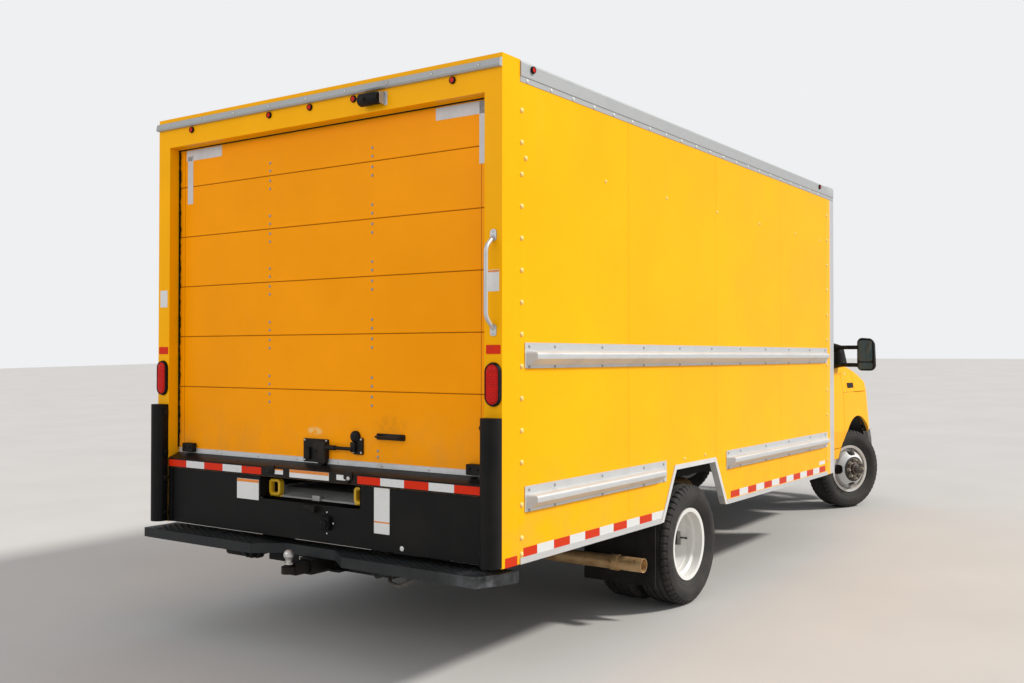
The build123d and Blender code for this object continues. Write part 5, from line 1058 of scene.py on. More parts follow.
# Each rub rail as (height of its foot, rear end, front end), and its two rows of screws above that foot
RUB_RAILS = ((1.425, -3.2, 1.11), (0.778, -3.2, -1.70), (0.770, -0.86, 1.11))
SCREW_ROWS, FLANGE = (0.099, 0.0062), 0.0034
for side, sign in SIDES:
    wall, out = sign * HALF, SIDEWARD[sign]
    post = [(-3.142, wall, z) for z in POST_RIVETS] + [(-3.11, wall, 2.373)]
    post += [(1.108, wall, z) for z in FRONT_RIVETS]
    studs("post_rivets_" + side, post, out, 0.0125, 0.0085, rivet_highlight_cream)
    lone = [(x, wall, 2.3685) for x in (-2.3815, -1.690, -0.994, -0.295, 0.40, 0.95)]
    lone += [(-1.462, wall, 0.885), (-1.177, wall, 0.885)]
    studs("wall_rivets_" + side, lone, out, 0.010, 0.0065, rivet_highlight_cream)
    foot = [(x, wall + sign * 0.002, 2.7245) for x in np.arange(-3.10, 1.10, 0.2)]
    studs("roof_rail_rivets_" + side, foot, out, 0.0095, 0.006, sticker_pale)
    screws = []
    for low, rear, front in RUB_RAILS:
        for row in SCREW_ROWS:
            screws += [(x, wall + sign * FLANGE, low + row) for x in RUB_SCREWS if rear < x < front]
    for (low, _, _), end in zip(RUB_RAILS[1:], (-1.738, -0.83)):
        screws += [(end, wall + sign * FLANGE, low + row) for row in SCREW_ROWS]
    studs("rub_rail_screws_" + side, screws, out, 0.0085, 0.0045, rivet_grey)
HINGE_Y, HINGE_HEADS = (0.356, -0.368), (-0.068, -0.026, 0.026, 0.068)
door_heads = [(DOORWAY, y, z + d) for y in HINGE_Y for z in SEAMS_Z for d in HINGE_HEADS]
door_heads += [(DOORWAY, -0.408, z) for z in (1.019, 0.990)]
studs("door_rivets", door_heads, REARWARD, 0.0078, 0.004, rivet_grey)
drip = [(REAR - 0.0218, y, 2.769) for y in np.linspace(-1.08, 1.08, 9)]
studs("drip_rail_screws", drip, REARWARD, 0.0075, 0.0035, bright_steel)
print("rivets", len(door_heads), "on the door,", len(POST_RIVETS), "down each post")

# %% [markdown]
# Tapes and stickers. Reflective tape is a thin plate with cells under its skin; it runs along the
# skirts in red and white, along the sill's face, and grey tape marks the doorway's top corners.
# Stickers are blank.

# %% Tapes, stickers and reflectors along the sides
TAPE_THICK, STICKER_THICK, BAND_THICK = 0.0006, 0.0006, 0.0004


def tape(spans, facing, height):
    """Strips for a row of spans: each span is (place of the middle, length)."""
    strips = [(plate(length, height, TAPE_THICK, 0.001, 0.0003), place) for place, length in spans]
    return join([onto(strip, facing, place) for strip, place in strips])


def row_of(ends, fixed, across, z):
    """Middles and lengths of the strips between neighbouring ends, along x on a side or along y behind."""
    spans = []
    for one, other in zip(ends[:-1], ends[1:]):
        middle = (one + other) / 2
        place = (middle, fixed, z) if across == "x" else (fixed, middle, z)
        spans.append((place, abs(other - one)))
    return spans


PITCH = 0.1425
for side, sign in SIDES:
    wall, out = sign * HALF, SIDEWARD[sign]
    rear_run = [-3.127] + [-3.014 + PITCH * k for k in range(10)]
    front_run = [1.063 - PITCH * k for k in range(14)][::-1]
    spans = row_of(rear_run, wall, "x", 0.598) + row_of(front_run, wall, "x", 0.604)
    red = spans[0:10:2] + spans[10:][::-1][0::2]
    white = spans[1:10:2] + spans[10:][::-1][1::2]
    red.append(((-3.222, wall, 0.572), 0.095))
    put("skirt_tape_red_" + side, tape(red, out, 0.043), side_red)
    put("skirt_tape_white_" + side, tape(white, out, 0.043), side_white)
    label = onto(plate(0.13, 0.026, 0.0005, 0.001, 0.0002), out, (0.985, wall, 0.655))
    put("side_sticker_" + side, label, sticker_pale)
    y = sign * (HALF - 0.047)
    stick = behind(plate(0.062, 0.095, 0.0006, 0.002, 0.0002), (REAR, y, 1.812 if sign < 0 else 1.80))
    put("post_sticker_" + side, stick, sticker_pale)
    strip = behind(plate(0.078, 0.040, 0.0022, 0.003, 0.0006), (REAR, y, 1.509))
    put("post_reflector_" + side, strip, tape_red)

print("tape blocks along a skirt", len(spans))


# %% Tapes and stickers behind
def stickers(places, thick=STICKER_THICK, radius=0.002, edge=0.0002):
    """Thin plates that look to the rear, each given as (place, width, height)."""
    return join([behind(plate(wide, high, thick, radius, edge), place) for place, wide, high in places])


corner = [((DOORWAY, 0.892, 2.606), 0.30, 0.058), ((DOORWAY, 1.008, 2.468), 0.046, 0.27)]
corner += [((DOORWAY, -0.915, 2.606), 0.30, 0.058), ((DOORWAY, -1.040, 2.4925), 0.044, 0.285)]
put("door_corner_tape", stickers(corner), metal_tape)

left_ends = np.linspace(1.0915, 0.337, 6)
right_ends = np.linspace(-0.341, -1.079, 6)
sill_face, band_z = REAR - 0.0022, 0.882
blocks = row_of(left_ends, sill_face, "y", band_z) + row_of(right_ends, sill_face, "y", band_z)
reds = tape([blocks[k] for k in (0, 2, 4, 5, 7, 9)], REARWARD, 0.037)
whites = tape([blocks[k] for k in (1, 3, 6, 8)], REARWARD, 0.037)
put("sill_tape_red", reds, tape_red)
put("sill_tape_white", whites, tape_white)

apron_face = REAR + 0.006
labels = [((apron_face, 0.448, 0.780), 0.168, 0.106), ((apron_face, -0.491, 0.744), 0.098, 0.218)]
labels += [((sill_face, -0.012, 0.884), 0.278, 0.040)]
labels += [((sill_face, 0.205, 0.886), 0.062, 0.026), ((sill_face, -0.233, 0.886), 0.062, 0.026)]
put("blank_stickers", stickers(labels), sticker_pale)
on_apron, on_sill, on_post = apron_face - STICKER_THICK, sill_face - STICKER_THICK, REAR - STICKER_THICK
bands = [((on_apron, 0.448, 0.824), 0.166, 0.015), ((on_apron, -0.491, 0.690), 0.097, 0.007)]
bands += [((on_sill, -0.012, 0.896), 0.276, 0.015), ((on_sill, 0.205, 0.8965), 0.061, 0.006)]
bands += [((on_post, -HALF + 0.047, 1.853), 0.061, 0.008)]
put("sticker_bands", stickers(bands, BAND_THICK, 0.001, 0.0001), label_orange)
print("stickers behind", len(labels), "and coloured bands", len(bands))

# %% [markdown]
# The sill and the doorway. A black tread plate is bent over the sloping sill, an aluminium strip closes
# the door's foot, and rubber seals line the jambs. The left seal has frayed, so its free edge wanders by
# a sum of a few sine waves instead of running straight.

# %% Sill plate and door foot
def slab(outline, start, end):
    """An outline of (x, z) points carried straight from one y to another."""
    outline = np.asarray(outline, float)
    rings = [np.column_stack([outline[:, 0], np.full(len(outline), y), outline[:, 1]]) for y in (start, end)]
    return rings_to_shape(rings)


inner = HALF - 0.0965
tread = [(REAR - 0.0016, 0.857), (REAR - 0.0016, 0.9088), (REAR + 0.0655, 0.9366), (REAR + 0.0690, 0.9366)]
tread += [(REAR + 0.0690, 0.9352), (REAR + 0.0658, 0.9352), (REAR - 0.0003, 0.9078), (REAR - 0.0003, 0.857)]
put("sill_tread", slab(tread, -inner, inner), hardware_black)

strip_face, strip_back = DOORWAY - 0.004, DOORWAY - 0.0005
foot = [(strip_face, 0.9372), (strip_face, 0.961), (strip_back, 0.9635), (strip_back, 0.9372)]
put("door_foot_strip", slab(foot, -1.092, 1.092), sill_foot)
screws = [(strip_face, y, 0.949) for y in np.linspace(-1.02, 1.02, 8)]
studs("door_foot_screws", screws, REARWARD, 0.006, 0.003, bright_steel)
print("tread plate over", round(2 * inner, 3), "metres of sill")

# %% Seals round the doorway
heights = np.linspace(0.966, 2.646, 170)
fray = 0.35 * np.sin(heights * 61) + 0.3 * np.sin(heights * 23 + 1) + 0.35 * np.sin(heights * 137 + 2)
for side, sign in SIDES:
    reach = 0.008 + 0.006 * fray if sign > 0 else np.full(len(heights), 0.006)
    edge = sign * (HALF - 0.0963)
    near, far = np.full(len(heights), edge), edge - sign * reach
    back, front = DOORWAY - 0.010, DOORWAY - 0.002
    rings = [[(back, n, z), (front, n, z), (front, f, z), (back, f, z)]
             for n, f, z in zip(near, far, heights)]
    put("jamb_seal_" + side, rings_to_shape(rings), seal_black)
HEADS = (("header_seal", 2.6395, 2.6432, seal_black), ("header_lip", 2.6435, 2.6485, body_yellow))
for name, low, high, finish in HEADS:
    head = [(DOORWAY - 0.014, low), (DOORWAY - 0.014, high), (DOORWAY - 0.001, high), (DOORWAY - 0.001, low)]
    put(name, slab(head, -inner + 0.001, inner - 0.001), finish)

buffer = stub(0.088, 0.050, 0.006, 0.026, 0.030, (0.93, 0.88))
buffer = join([buffer, copies(dome(0.008, 0.006), [(-0.022, 0.004, 0.030), (0.024, 0.004, 0.030)])])
feet = [behind(buffer, (DOORWAY - 0.0045, y, 0.968)) for y in (0.985, -1.010)]
put("door_foot_blocks", join(feet), hardware_black, 40)
print("seal points down a jamb", len(heights))

# %% [markdown]
# The door's lock. A slam plate with four screws carries the bolt and its cam; a bar runs from it to the
# keeper on the right, and further right is the pull handle. They could be details on the CAD's plain
# blocks, but rounded blocks, turned knobs and a bent bar at the same places replace them more cleanly.

# %% Lock, bar and pull handle
def at_door(shape, y, z, out=0.0):
    """Sets a shape drawn as (right, up, out) on the door at y, z, as seen from behind."""
    return behind(shape, (DOORWAY - out, y, z))


ROD_X, ROD_Z = DOORWAY - 0.0215, 1.0225
lock = [at_door(plate(0.174, 0.118, 0.010, 0.006, 0.002), 0.006, 1.001)]
lock += [at_door(stub(0.050, 0.112, 0.010, 0.020, 0.024), -0.056, 0.993, 0.010)]
lock += [at_door(stub(0.074, 0.052, 0.024, 0.014, 0.020, (0.7, 0.7), 6), -0.028, 1.022, 0.010)]
lock += [at_door(stub(0.030, 0.060, 0.008, 0.012, 0.015), 0.052, 0.985, 0.010)]
rod = bar(circle(0.0088, 14), [(ROD_X, -0.020, ROD_Z), (ROD_X, -0.262, ROD_Z)])
sleeve = bar(circle(0.0125, 14), [(ROD_X, -0.085, ROD_Z), (ROD_X, -0.145, ROD_Z)])
keeper = [at_door(plate(0.064, 0.082, 0.012, 0.005, 0.002), -0.284, 1.037)]
keeper += [at_door(stub(0.030, 0.050, 0.006, 0.013, 0.015), -0.262, 1.032, 0.011)]
knob = turned([(0.029, 0.0), (0.029, 0.012), (0.024, 0.019), (0.012, 0.024), (0.003, 0.025)], 22)
keeper += [at_door(knob, -0.266, 1.083)]
put("door_lock_body", join(lock + [rod, sleeve] + keeper), hardware_black, 35)
heads = [(DOORWAY - 0.010, y, z) for y in (0.082, -0.070) for z in (1.052, 0.951)]
heads += [(DOORWAY - 0.012, y, z) for y in (-0.259, -0.308) for z in (1.006, 1.071)]
studs("door_lock_screws", heads, REARWARD, 0.0062, 0.004, bright_steel)

HANDLE_Y, HANDLE_Z = -0.492, 1.090
grip = [(0.001, 0.082), (0.030, 0.070), (0.030, -0.070), (0.001, -0.082)]
grip = rounded_path([(DOORWAY - out, HANDLE_Y + y, HANDLE_Z) for out, y in grip], 0.016)
pull = [bar(rounded(0.022, 0.010, 0.004, 3), grip)]
pull += [at_door(plate(0.030, 0.030, 0.007, 0.006, 0.002), HANDLE_Y + e * 0.075, HANDLE_Z) for e in (-1, 1)]
pull += [at_door(plate(0.150, 0.030, 0.003, 0.006, 0.001), HANDLE_Y, HANDLE_Z)]
piece = put("pull_handle", join(pull), hardware_black, 40)
screws = [(DOORWAY - 0.007, HANDLE_Y + e * 0.083, HANDLE_Z) for e in (-1, 1)]
studs("pull_handle_screws", screws, REARWARD, 0.006, 0.003, bright_steel)
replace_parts(piece, "door_lock")
print("lock at", round(DOORWAY, 3))

# %% [markdown]
# Things on the rear frame: bezels round the marker lamps, a grommet and ribs on each tail lamp, the
# reversing camera in its cradle, and the grab handle. Bezels and tube are turned from a profile; the
# grommet's outline isn't round, so it is made of layers that go up its outside and down its inside.

# %% Bezels round the marker lamps
MARKERS_Y = (HALF - 0.288, 0.286, -0.011, -0.310, -HALF + 0.274)
bezel = [(0.0118, 0.009), (0.0118, 0.001), (0.0170, 0.001), (0.0170, 0.006), (0.0155, 0.0105),
         (0.0128, 0.0112)]
bezel = turned(bezel, 24, True)
rims = [behind(bezel, (REAR, y, TOP - 0.084)) for y in MARKERS_Y]
for _, sign in SIDES:
    for x in (FRAME_FRONT + 0.092, 0.9245):
        rims.append(onto(bezel, SIDEWARD[sign], (x, sign * (HALF + 0.006), TOP - 0.030)))
for y in (HALF - 0.314, 0.3, 0.0, -0.3, -HALF + 0.314):
    rims.append(onto(bezel, FORWARD, (BODY_FRONT, y, TOP - 0.030)))
put("marker_bezels", join(rims), seal_black, 40)
print("bezels", len(rims))

# %% Tail lamps
TAIL_Y, TAIL_Z = HALF - 0.045, 1.355


def capsule(width, height):
    """A slot outline: half circles joined by straight sides."""
    return rounded(width, height, width / 2 - 1e-4, 9)


grommet = [(0.066, 0.175, -0.001), (0.086, 0.195, -0.001), (0.086, 0.195, 0.006), (0.078, 0.187, 0.016),
           (0.068, 0.177, 0.0165), (0.062, 0.171, 0.012)]
grommet = rings_to_shape([np.column_stack([capsule(w, h), np.full(36, out)]) for w, h, out in grommet], True)
lens = [(1, 1, 0.010), (1, 1, 0.0155), (0.9, 0.965, 0.0185), (0.5, 0.8, 0.0195)]
lens = layers(capsule(0.056, 0.165), lens)
rib = layers(rounded(0.040, 0.0032, 0.001), [(1, 1, 0), (1, 0.6, 0.0022)])
ribs = copies(rib, [(0, z, 0.0183) for z in np.linspace(-0.062, 0.062, 11)])
for side, sign in SIDES:
    place = (REAR, sign * TAIL_Y, TAIL_Z)
    put("tail_grommet_" + side, behind(grommet, place), seal_black, 40)
    put("tail_lens_" + side, behind(join([lens, ribs]), place), lamp_finish, 40)
print("tail lamps", TAIL_Z, "metres up")

# %% Reversing camera and its cradle
CAMERA_Y, CAMERA_Z = -0.446, TOP - 0.110
tube = turned([(0.027, -0.062), (0.030, -0.057), (0.030, 0.050), (0.026, 0.056), (0.0255, 0.060)], 28)
eye = REAR - 0.034
barrel = onto(tube, RIGHTWARD, (eye, CAMERA_Y, CAMERA_Z))
visor = stub(0.118, 0.040, 0.010, 0.010, 0.013, (0.9, 0.7))
visor = behind(visor, (eye - 0.014, CAMERA_Y, CAMERA_Z + 0.006))
lenses = turned([(0.012, 0.0), (0.012, 0.008), (0.009, 0.010), (0.002, 0.011)], 18)
lenses = behind(lenses, (eye - 0.0285, CAMERA_Y + 0.018, CAMERA_Z - 0.004))
piece = put("rear_camera", join([barrel, visor, lenses]), trim_black, 40)
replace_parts(piece, "rear_fittings")
cradle = [behind(plate(0.020, 0.066, 0.0025, 0.004, 0.0006), (REAR, CAMERA_Y - 0.071, CAMERA_Z + 0.002))]
cradle += [slab([(REAR - 0.040, CAMERA_Z - 0.024), (REAR, CAMERA_Z - 0.030), (REAR, CAMERA_Z + 0.034),
                 (REAR - 0.040, CAMERA_Z + 0.028)], CAMERA_Y - 0.0660, CAMERA_Y - 0.0635)]
put("camera_cradle", join(cradle), trim_aluminium, 40)
print("camera", round(CAMERA_Z, 3), "metres up")

# %% Grab handle
GRAB_Y = -HALF + 0.046
grab = [(0.001, 1.600), (0.058, 1.648), (0.058, 1.957), (0.001, 2.005)]
grab = rounded_path([(REAR - out, GRAB_Y, z) for out, z in grab], 0.028, 6)
feet = [behind(plate(0.034, 0.052, 0.005, 0.012, 0.0015), (REAR, GRAB_Y, z)) for z in (1.593, 2.012)]
grab = bar(circle(0.0095, 16), grab, (0, 1, 0))
put("grab_handle", join([grab] + feet), trim_aluminium, 40)
screws = [(REAR - 0.005, GRAB_Y, z) for z in (1.578, 2.027)]
studs("grab_handle_screws", screws, REARWARD, 0.0058, 0.003, bright_steel)
print("grab handle at", round(GRAB_Y, 3))

# %% [markdown]
# The wheel arches are edged by a bent strip that covers the sheet's cut: a flange on the outside and a
# return inside. Its outline follows the arch, so each corner is mitred. With unit normals n and m of the
# two legs, the corner of a line drawn a distance d outside them is moved by d (n + m) / (1 + n . m).

# %% Arch trim
def mitred(path, distance):
    """The path in (x, z) moved sideways by a distance, with its ends cut level."""
    path = np.asarray(path, float)
    run = np.diff(path, axis=0)
    run /= np.linalg.norm(run, axis=1, keepdims=True)
    normal = np.column_stack([-run[:, 1], run[:, 0]])
    moved = np.zeros_like(path)
    both = normal[:-1] + normal[1:]
    moved[1:-1] = both / (1 + np.einsum("ij,ij->i", normal[:-1], normal[1:]))[:, None]
    for end, n in ((0, normal[0]), (-1, normal[-1])):
        moved[end] = (1 / n[0], 0) if abs(n[0]) > 0.1 else n
    return path + distance * moved


arch = np.array([(-0.425, 0.5525), (-0.262, 0.833), (0.275, 0.833), (0.440, 0.5525)]) + (REAR_AXLE, 0)
section = [(-0.0022, -0.036), (-0.0022, 0.0048), (0.0255, 0.0048), (0.0255, 0.0002), (-0.0002, 0.0002),
           (-0.0002, -0.036)]
for side, sign in SIDES:
    lines = [(mitred(arch, distance), sign * (HALF + out)) for distance, out in section]
    rings = np.stack([np.column_stack([line[:, 0], np.full(4, y), line[:, 1]]) for line, y in lines], 1)
    put("arch_trim_" + side, rings_to_shape(rings), trim_white)
print("arch trims", len(SIDES))

# %% [markdown]
# Below the sill everything is black: filler plates close the apron against the corner guards, guide
# plates line the ramp's slot, and the guards are held by bolts through their inner flanks. Only the
# loops on the ramp's end are yellow, where a hand takes hold of it. They ride on the ramp, so they come
# out with it; everything else here stays on the chassis.

# %% Apron fillers and slot guides
filler = plate(0.0220, 0.350, 0.0022, 0.001, 0.0005)
fillers = [behind(filler, (REAR, sign * 1.0875, 0.732)) for _, sign in SIDES]
put("apron_fillers", join(fillers), apron_black)
SLOT_HALF, SLOT_LOW, SLOT_TOP = 0.3512, 0.746, 0.8560


def guide(low, start, end):
    """A plate in the slot, from a height up to the slot's top and from one y to another."""
    back, front = REAR + 0.004, REAR + 0.136
    return slab([(back, low), (back, SLOT_TOP), (front, SLOT_TOP), (front, low)], start, end)


guides = [guide(SLOT_LOW, SLOT_HALF, 0.3530), guide(SLOT_LOW, -0.3530, -SLOT_HALF)]
guides += [guide(0.8545, -SLOT_HALF, SLOT_HALF)]
put("slot_guides", join(guides), seal_black)
print("slot", 2 * SLOT_HALF, "metres wide")

# %% Loops on the ramp's end
outer, hole = rounded(0.084, 0.086, 0.020, 6), rounded(0.050, 0.056, 0.010, 6)
flat = [(outer, 0.0), (outer, 0.014), (outer * 0.95, 0.018), (hole * 1.06, 0.018), (hole, 0.014), (hole, 0.0)]
loop = rings_to_shape([np.column_stack([line, np.full(len(line), out)]) for line, out in flat], loop=True)
grips = [behind(loop, (REAR + 0.076, y, 0.795)) for y in (0.302, -0.302)]
put("ramp_loops", join(grips), loop_yellow, 40, "ramp")
print("loops", len(grips))

# %% Latch, socket, hinges and guard bolts
latch = [behind(plate(0.094, 0.022, 0.016, 0.004, 0.002), (apron_face, -0.020, 0.724))]
latch += [behind(stub(0.036, 0.030, 0.008, 0.030, 0.034, (0.7, 0.7)), (apron_face, -0.055, 0.716))]
put("ramp_latch", join(latch), hardware_black)
socket = [(1, 1, 0), (1, 1, 0.014), (0.86, 0.86, 0.020), (0.5, 0.5, 0.021)]
socket = [behind(layers(rounded(0.062, 0.070, 0.012), socket), (apron_face, -0.130, 0.655))]
lid = turned([(0.020, 0.0), (0.020, 0.006), (0.006, 0.008)], 18)
socket += [behind(lid, (apron_face - 0.020, -0.130, 0.652))]
put("trailer_socket", join(socket), seal_black, 40)
diamond = [(apron_face, -0.130 + y, 0.655 + z) for y, z in ((0, 0.052), (0, -0.052), (0.042, 0), (-0.042, 0))]
studs("socket_screws", diamond, REARWARD, 0.0055, 0.003, bright_steel)
studs("apron_spot", [(apron_face, -0.617, 0.579)], REARWARD, 0.013, 0.003, sticker_pale)
leaf = plate(0.056, 0.040, 0.010, 0.006, 0.002)
pivot = layers(circle(0.010, 14), [(1, 1, 0), (1, 1, 0.016), (0.8, 0.8, 0.018)])
on_tread = REAR - 0.0016
hinges = [behind(leaf, (on_tread, y, z)) for y, z in ((0.262, 0.897), (-0.284, 0.900))]
hinges += [behind(pivot, (on_tread, -0.284, 0.868))]
put("sill_hinges", join(hinges), hardware_black, 40)
pin = [(REAR - 0.0116, -0.290, 0.886)]
studs("sill_hinge_pin", pin, REARWARD, 0.012, 0.008, bright_steel)
washer = layers(circle(0.017, 14), [(1, 1, 0), (1, 1, 0.003)])
bolt = join([washer, layers(hexagon, [(1, 1, 0.003), (1, 1, 0.011), (0.8, 0.8, 0.013)])])
bolts = [onto(bolt, SIDEWARD[-sign], (REAR - 0.020, sign * (HALF - 0.0918), z)) for _, sign in SIDES
         for z in (1.163, 0.940, 0.800, 0.604)]
put("guard_bolts", join(bolts), hardware_black, 30)
print("guard bolts", len(bolts))

# %% [markdown]
# The step is pressed with raised buttons so that a wet boot holds. Below it hang a bracket and a hook,
# and the ball stands bright on its drop mount.

# %% Step buttons, hitch ball and hooks
column, row = np.arange(27), np.arange(5)
button_y = 0.375 + column[:, None] * 0.0295 + np.zeros(5)
button_x = REAR - 0.066 + row[None] * 0.036 + (column[:, None] % 2) * 0.018
keep_off = (button_y + (REAR - button_x) * 1.2) < 1.17
spots = np.column_stack([button_x[keep_off], button_y[keep_off], np.full(keep_off.sum(), 0.5218)])
spots = np.vstack([spots, spots * (1, -1, 1)])
studs("step_buttons", spots, SKYWARD, 0.0065, 0.003, step_black)

BALL = np.array([-3.4165, 0.0, 0.505])
angle = np.linspace(-0.86, 1.50, 14)
sphere = [(0.0150, -0.046), (0.0230, -0.046), (0.0230, -0.040), (0.0150, -0.036)]
sphere += [(0.0258 * np.cos(a), 0.0258 * np.sin(a)) for a in angle]
put("hitch_ball", onto(turned(sphere, 28), SKYWARD, BALL), bright_steel, 40)
tags = [behind(plate(0.082, 0.030, 0.0005, 0.001, 0.0001), (REAR + 0.150, y, 0.416)) for y in (0.172, 0.074)]
put("hitch_label", join(tags), sticker_pale)
corner = np.array([(-0.090, 1.114), (-0.090, 1.188), (-0.084, 1.1935), (0.088, 1.1935)]) + (REAR, 0)
rings = [np.column_stack([corner, np.full(4, z)]) for z in (0.4725, 0.5215)]
put("step_left_corner", rings_to_shape(rings), step_black)
hanger = [(0.9, 0.8, -0.022), (1, 1, -0.016), (1, 1, 0.016), (0.9, 0.8, 0.022)]
hanger = layers(rounded(0.266, 0.052, 0.022, 6), hanger)
knob = turned([(0.022, 0.0), (0.026, 0.012), (0.020, 0.028), (0.006, 0.032)], 18)
hanger = [behind(hanger, (REAR + 0.060, 0.530, 0.440)), behind(knob, (REAR + 0.040, 0.440, 0.440))]
put("step_hanger", join(hanger), hardware_black, 40)
hook = [(0.090, -0.500, 0.470), (0.020, -0.520, 0.408), (-0.010, -0.620, 0.402), (0.010, -0.690, 0.450),
        (0.070, -0.650, 0.466)]
hook = rounded_path(np.array(hook) + (REAR, 0, 0), 0.035, 6)
put("tow_hook", bar(circle(0.011, 12), hook), cast_iron, 40)
print("buttons on the step", len(spots))

# %% [markdown]
# Mirrors. The shell is a stack of rounded outlines, each a little smaller than the one before, and flat
# at the rear, where a glass and a smaller wide-angle glass sit. Two arms join it to a foot on the door.
# It rides on the door, so it swings out with it.

# %% Shape of the mirrors
MIRROR_X, MIRROR_Y, MIRROR_Z = FRONT_AXLE - 0.790, 1.265, 1.494
# The shell's outlines from its rear rim forwards, as (scale, distance)
SHELL_STEPS = ((0.90, -0.002), (0.985, -0.002), (1.0, -0.010), (0.995, -0.030), (0.93, -0.060),
               (0.80, -0.080), (0.45, -0.090))
# Where an arm leaves the door and where it bends to the head, as (x, y), and its thick root as (y, radius)
ARM_FOOT, ARM_BEND = (FRONT_AXLE - 0.560, 0.885), (MIRROR_X + 0.052, 1.090)
ARM_ROOT = ((0.940, 0.044), (0.975, 0.036), (1.010, 0.026), (1.050, 0.018), (1.100, 0.0145))
ARM_HEIGHTS = (1.553, 1.403)
FOOT_MIDDLE = np.array([-0.520, 1.470])


def mirror_outline(scale, sign):
    """A head about 150 mm wide and 280 mm tall whose outer top corner is drawn in."""
    line = rounded(0.148, 0.278, 0.040, 7)
    high = np.clip(line[:, 1] / 0.139, 0, 1)
    lean = np.clip(line[:, 0] * -sign / 0.074, 0, 1)
    line = line - np.column_stack([-sign * 0.016 * high**2 * lean, 0.010 * high * lean])
    return line * scale


print("points round a mirror", len(mirror_outline(1.0, 1)))

# %% Mirrors on their arms
for side, sign in SIDES:
    door = "door_" + side
    rings = []
    for scale, out in SHELL_STEPS:
        rings.append(np.column_stack([mirror_outline(scale, sign), np.full(28, out)]))
    shell = behind(rings_to_shape(rings), (MIRROR_X, sign * MIRROR_Y, MIRROR_Z))
    arms = []
    for z in ARM_HEIGHTS:
        path = [(ARM_FOOT[0], sign * ARM_FOOT[1], z), (ARM_BEND[0], sign * ARM_BEND[1], z)]
        path += [(MIRROR_X + 0.050, sign * 1.225, z)]
        arms.append(bar(rounded(0.026, 0.034, 0.010, 4), rounded_path(path, 0.06, 6)))
        rings = []
        for y, radius in ARM_ROOT:
            along = (y - ARM_FOOT[1]) / (ARM_BEND[1] - ARM_FOOT[1])
            x = ARM_FOOT[0] + along * (ARM_BEND[0] - ARM_FOOT[0])
            line = circle(radius, 12)
            rings.append(np.column_stack([x + line[:, 0], np.full(12, sign * y), z + line[:, 1] * 0.8]))
        arms.append(rings_to_shape(rings))
    foot = np.array([(-0.655, 1.372), (-0.655, 1.596), (-0.585, 1.596), (-0.428, 1.372)])
    rings = []
    for y, shrink in ((0.856, 1.0), (0.915, 0.98), (0.960, 0.90), (0.995, 0.74), (1.010, 0.50)):
        outline = FOOT_MIDDLE + (foot - FOOT_MIDDLE) * shrink
        rings.append(np.column_stack([FRONT_AXLE + outline[:, 0], np.full(4, sign * y), outline[:, 1]]))
    whole = join([shell] + arms + [rings_to_shape(rings)])
    head = put("mirror_head_" + side, whole, trim_black, 45, door)
    upper = stub(0.118, 0.178, 0.024, 0.0012, 0.0016, (0.985, 0.99), 6)
    lower = stub(0.118, 0.054, 0.018, 0.0012, 0.0030, (0.8, 0.7), 6)
    glasses = [behind(upper, (MIRROR_X - 0.002, sign * (MIRROR_Y - 0.004), MIRROR_Z + 0.028))]
    glasses += [behind(lower, (MIRROR_X - 0.002, sign * (MIRROR_Y - 0.002), MIRROR_Z - 0.098))]
    put("mirror_glass_" + side, join(glasses), mirror_glass, 40, door)
    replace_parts(head, "mirror_" + side)
print("mirrors at", round(MIRROR_X, 3), "metres along")

# %% [markdown]
# Rub rails. The CAD rail has one section from end to end; the truck's pressed rails are closed by a slope
# at each end. The same section is carried along here with its bulge scaled by a factor that falls from
# one to nearly nought over the last centimetres.

# %% Rub rails and skirt rails
SHEET = 0.0035
RUB_SECTION = np.array([(0.0005, 0), (0.0005, 0.116), (SHEET, 0.116), (SHEET, 0.079), (0.0375, 0.074),
                        (0.0445, 0.0715), (0.0485, 0.067), (0.0505, 0.060), (0.0485, 0.042), (SHEET, 0.010),
                        (SHEET, 0.0)])
RAIL_RUNS = ((-3.1175, 1.1085, 1.425), (-3.1175, -1.7005, 0.778), (-0.8595, 1.1085, 0.770))
SKIRT_RUNS = ((FRAME_FRONT + 0.0005, REAR_AXLE - 0.451), (REAR_AXLE + 0.466, 1.114))


def rub_ring(x, sign, low, bulge):
    """The section at x: what stands out beyond the sheet is multiplied by the bulge."""
    out = RUB_SECTION[:, 0]
    out = np.where(out > SHEET, SHEET + (out - SHEET) * bulge, out)
    return np.column_stack([np.full(len(out), x), sign * (HALF + out), low + RUB_SECTION[:, 1]])


for side, sign in SIDES:
    rails = []
    for rear, front, low in RAIL_RUNS:
        stations = [(rear, 0.03), (rear + 0.008, 0.03), (rear + 0.034, 1.0)]
        stations += [(front - 0.090, 1.0), (front - 0.050, 0.03), (front, 0.03)]
        rails.append(rings_to_shape([rub_ring(x, sign, low, bulge) for x, bulge in stations]))
    for rear, front in SKIRT_RUNS:
        near, far = sign * (HALF + 0.0005), sign * (HALF + 0.0045)
        corners = np.array([(near, 0.550), (far, 0.550), (far, 0.579), (near, 0.579)])
        rails.append(rings_to_shape([np.column_stack([np.full(4, x), corners]) for x in (rear, front)]))
    piece = put("rub_rails_" + side, join(rails), rail_aluminium, 30)
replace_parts(piece, "side_rails")
print("rub rails", len(RAIL_RUNS), "and skirt rails", len(SKIRT_RUNS), "on each side")

# %% [markdown]
# The roof in front. The CAD roof sheet and its rails stop where the front wall's posts begin; a sheet
# laps over the space up to the wall's cap, and each rail runs on over its post to the front corner.

# %% Roof front
lap = slab([(1.1000, 2.8083), (1.1000, 2.8108), (1.2300, 2.8108), (1.2300, 2.8083)], -1.1462, 1.1462)
put("roof_front_sheet", lap, white_roof)
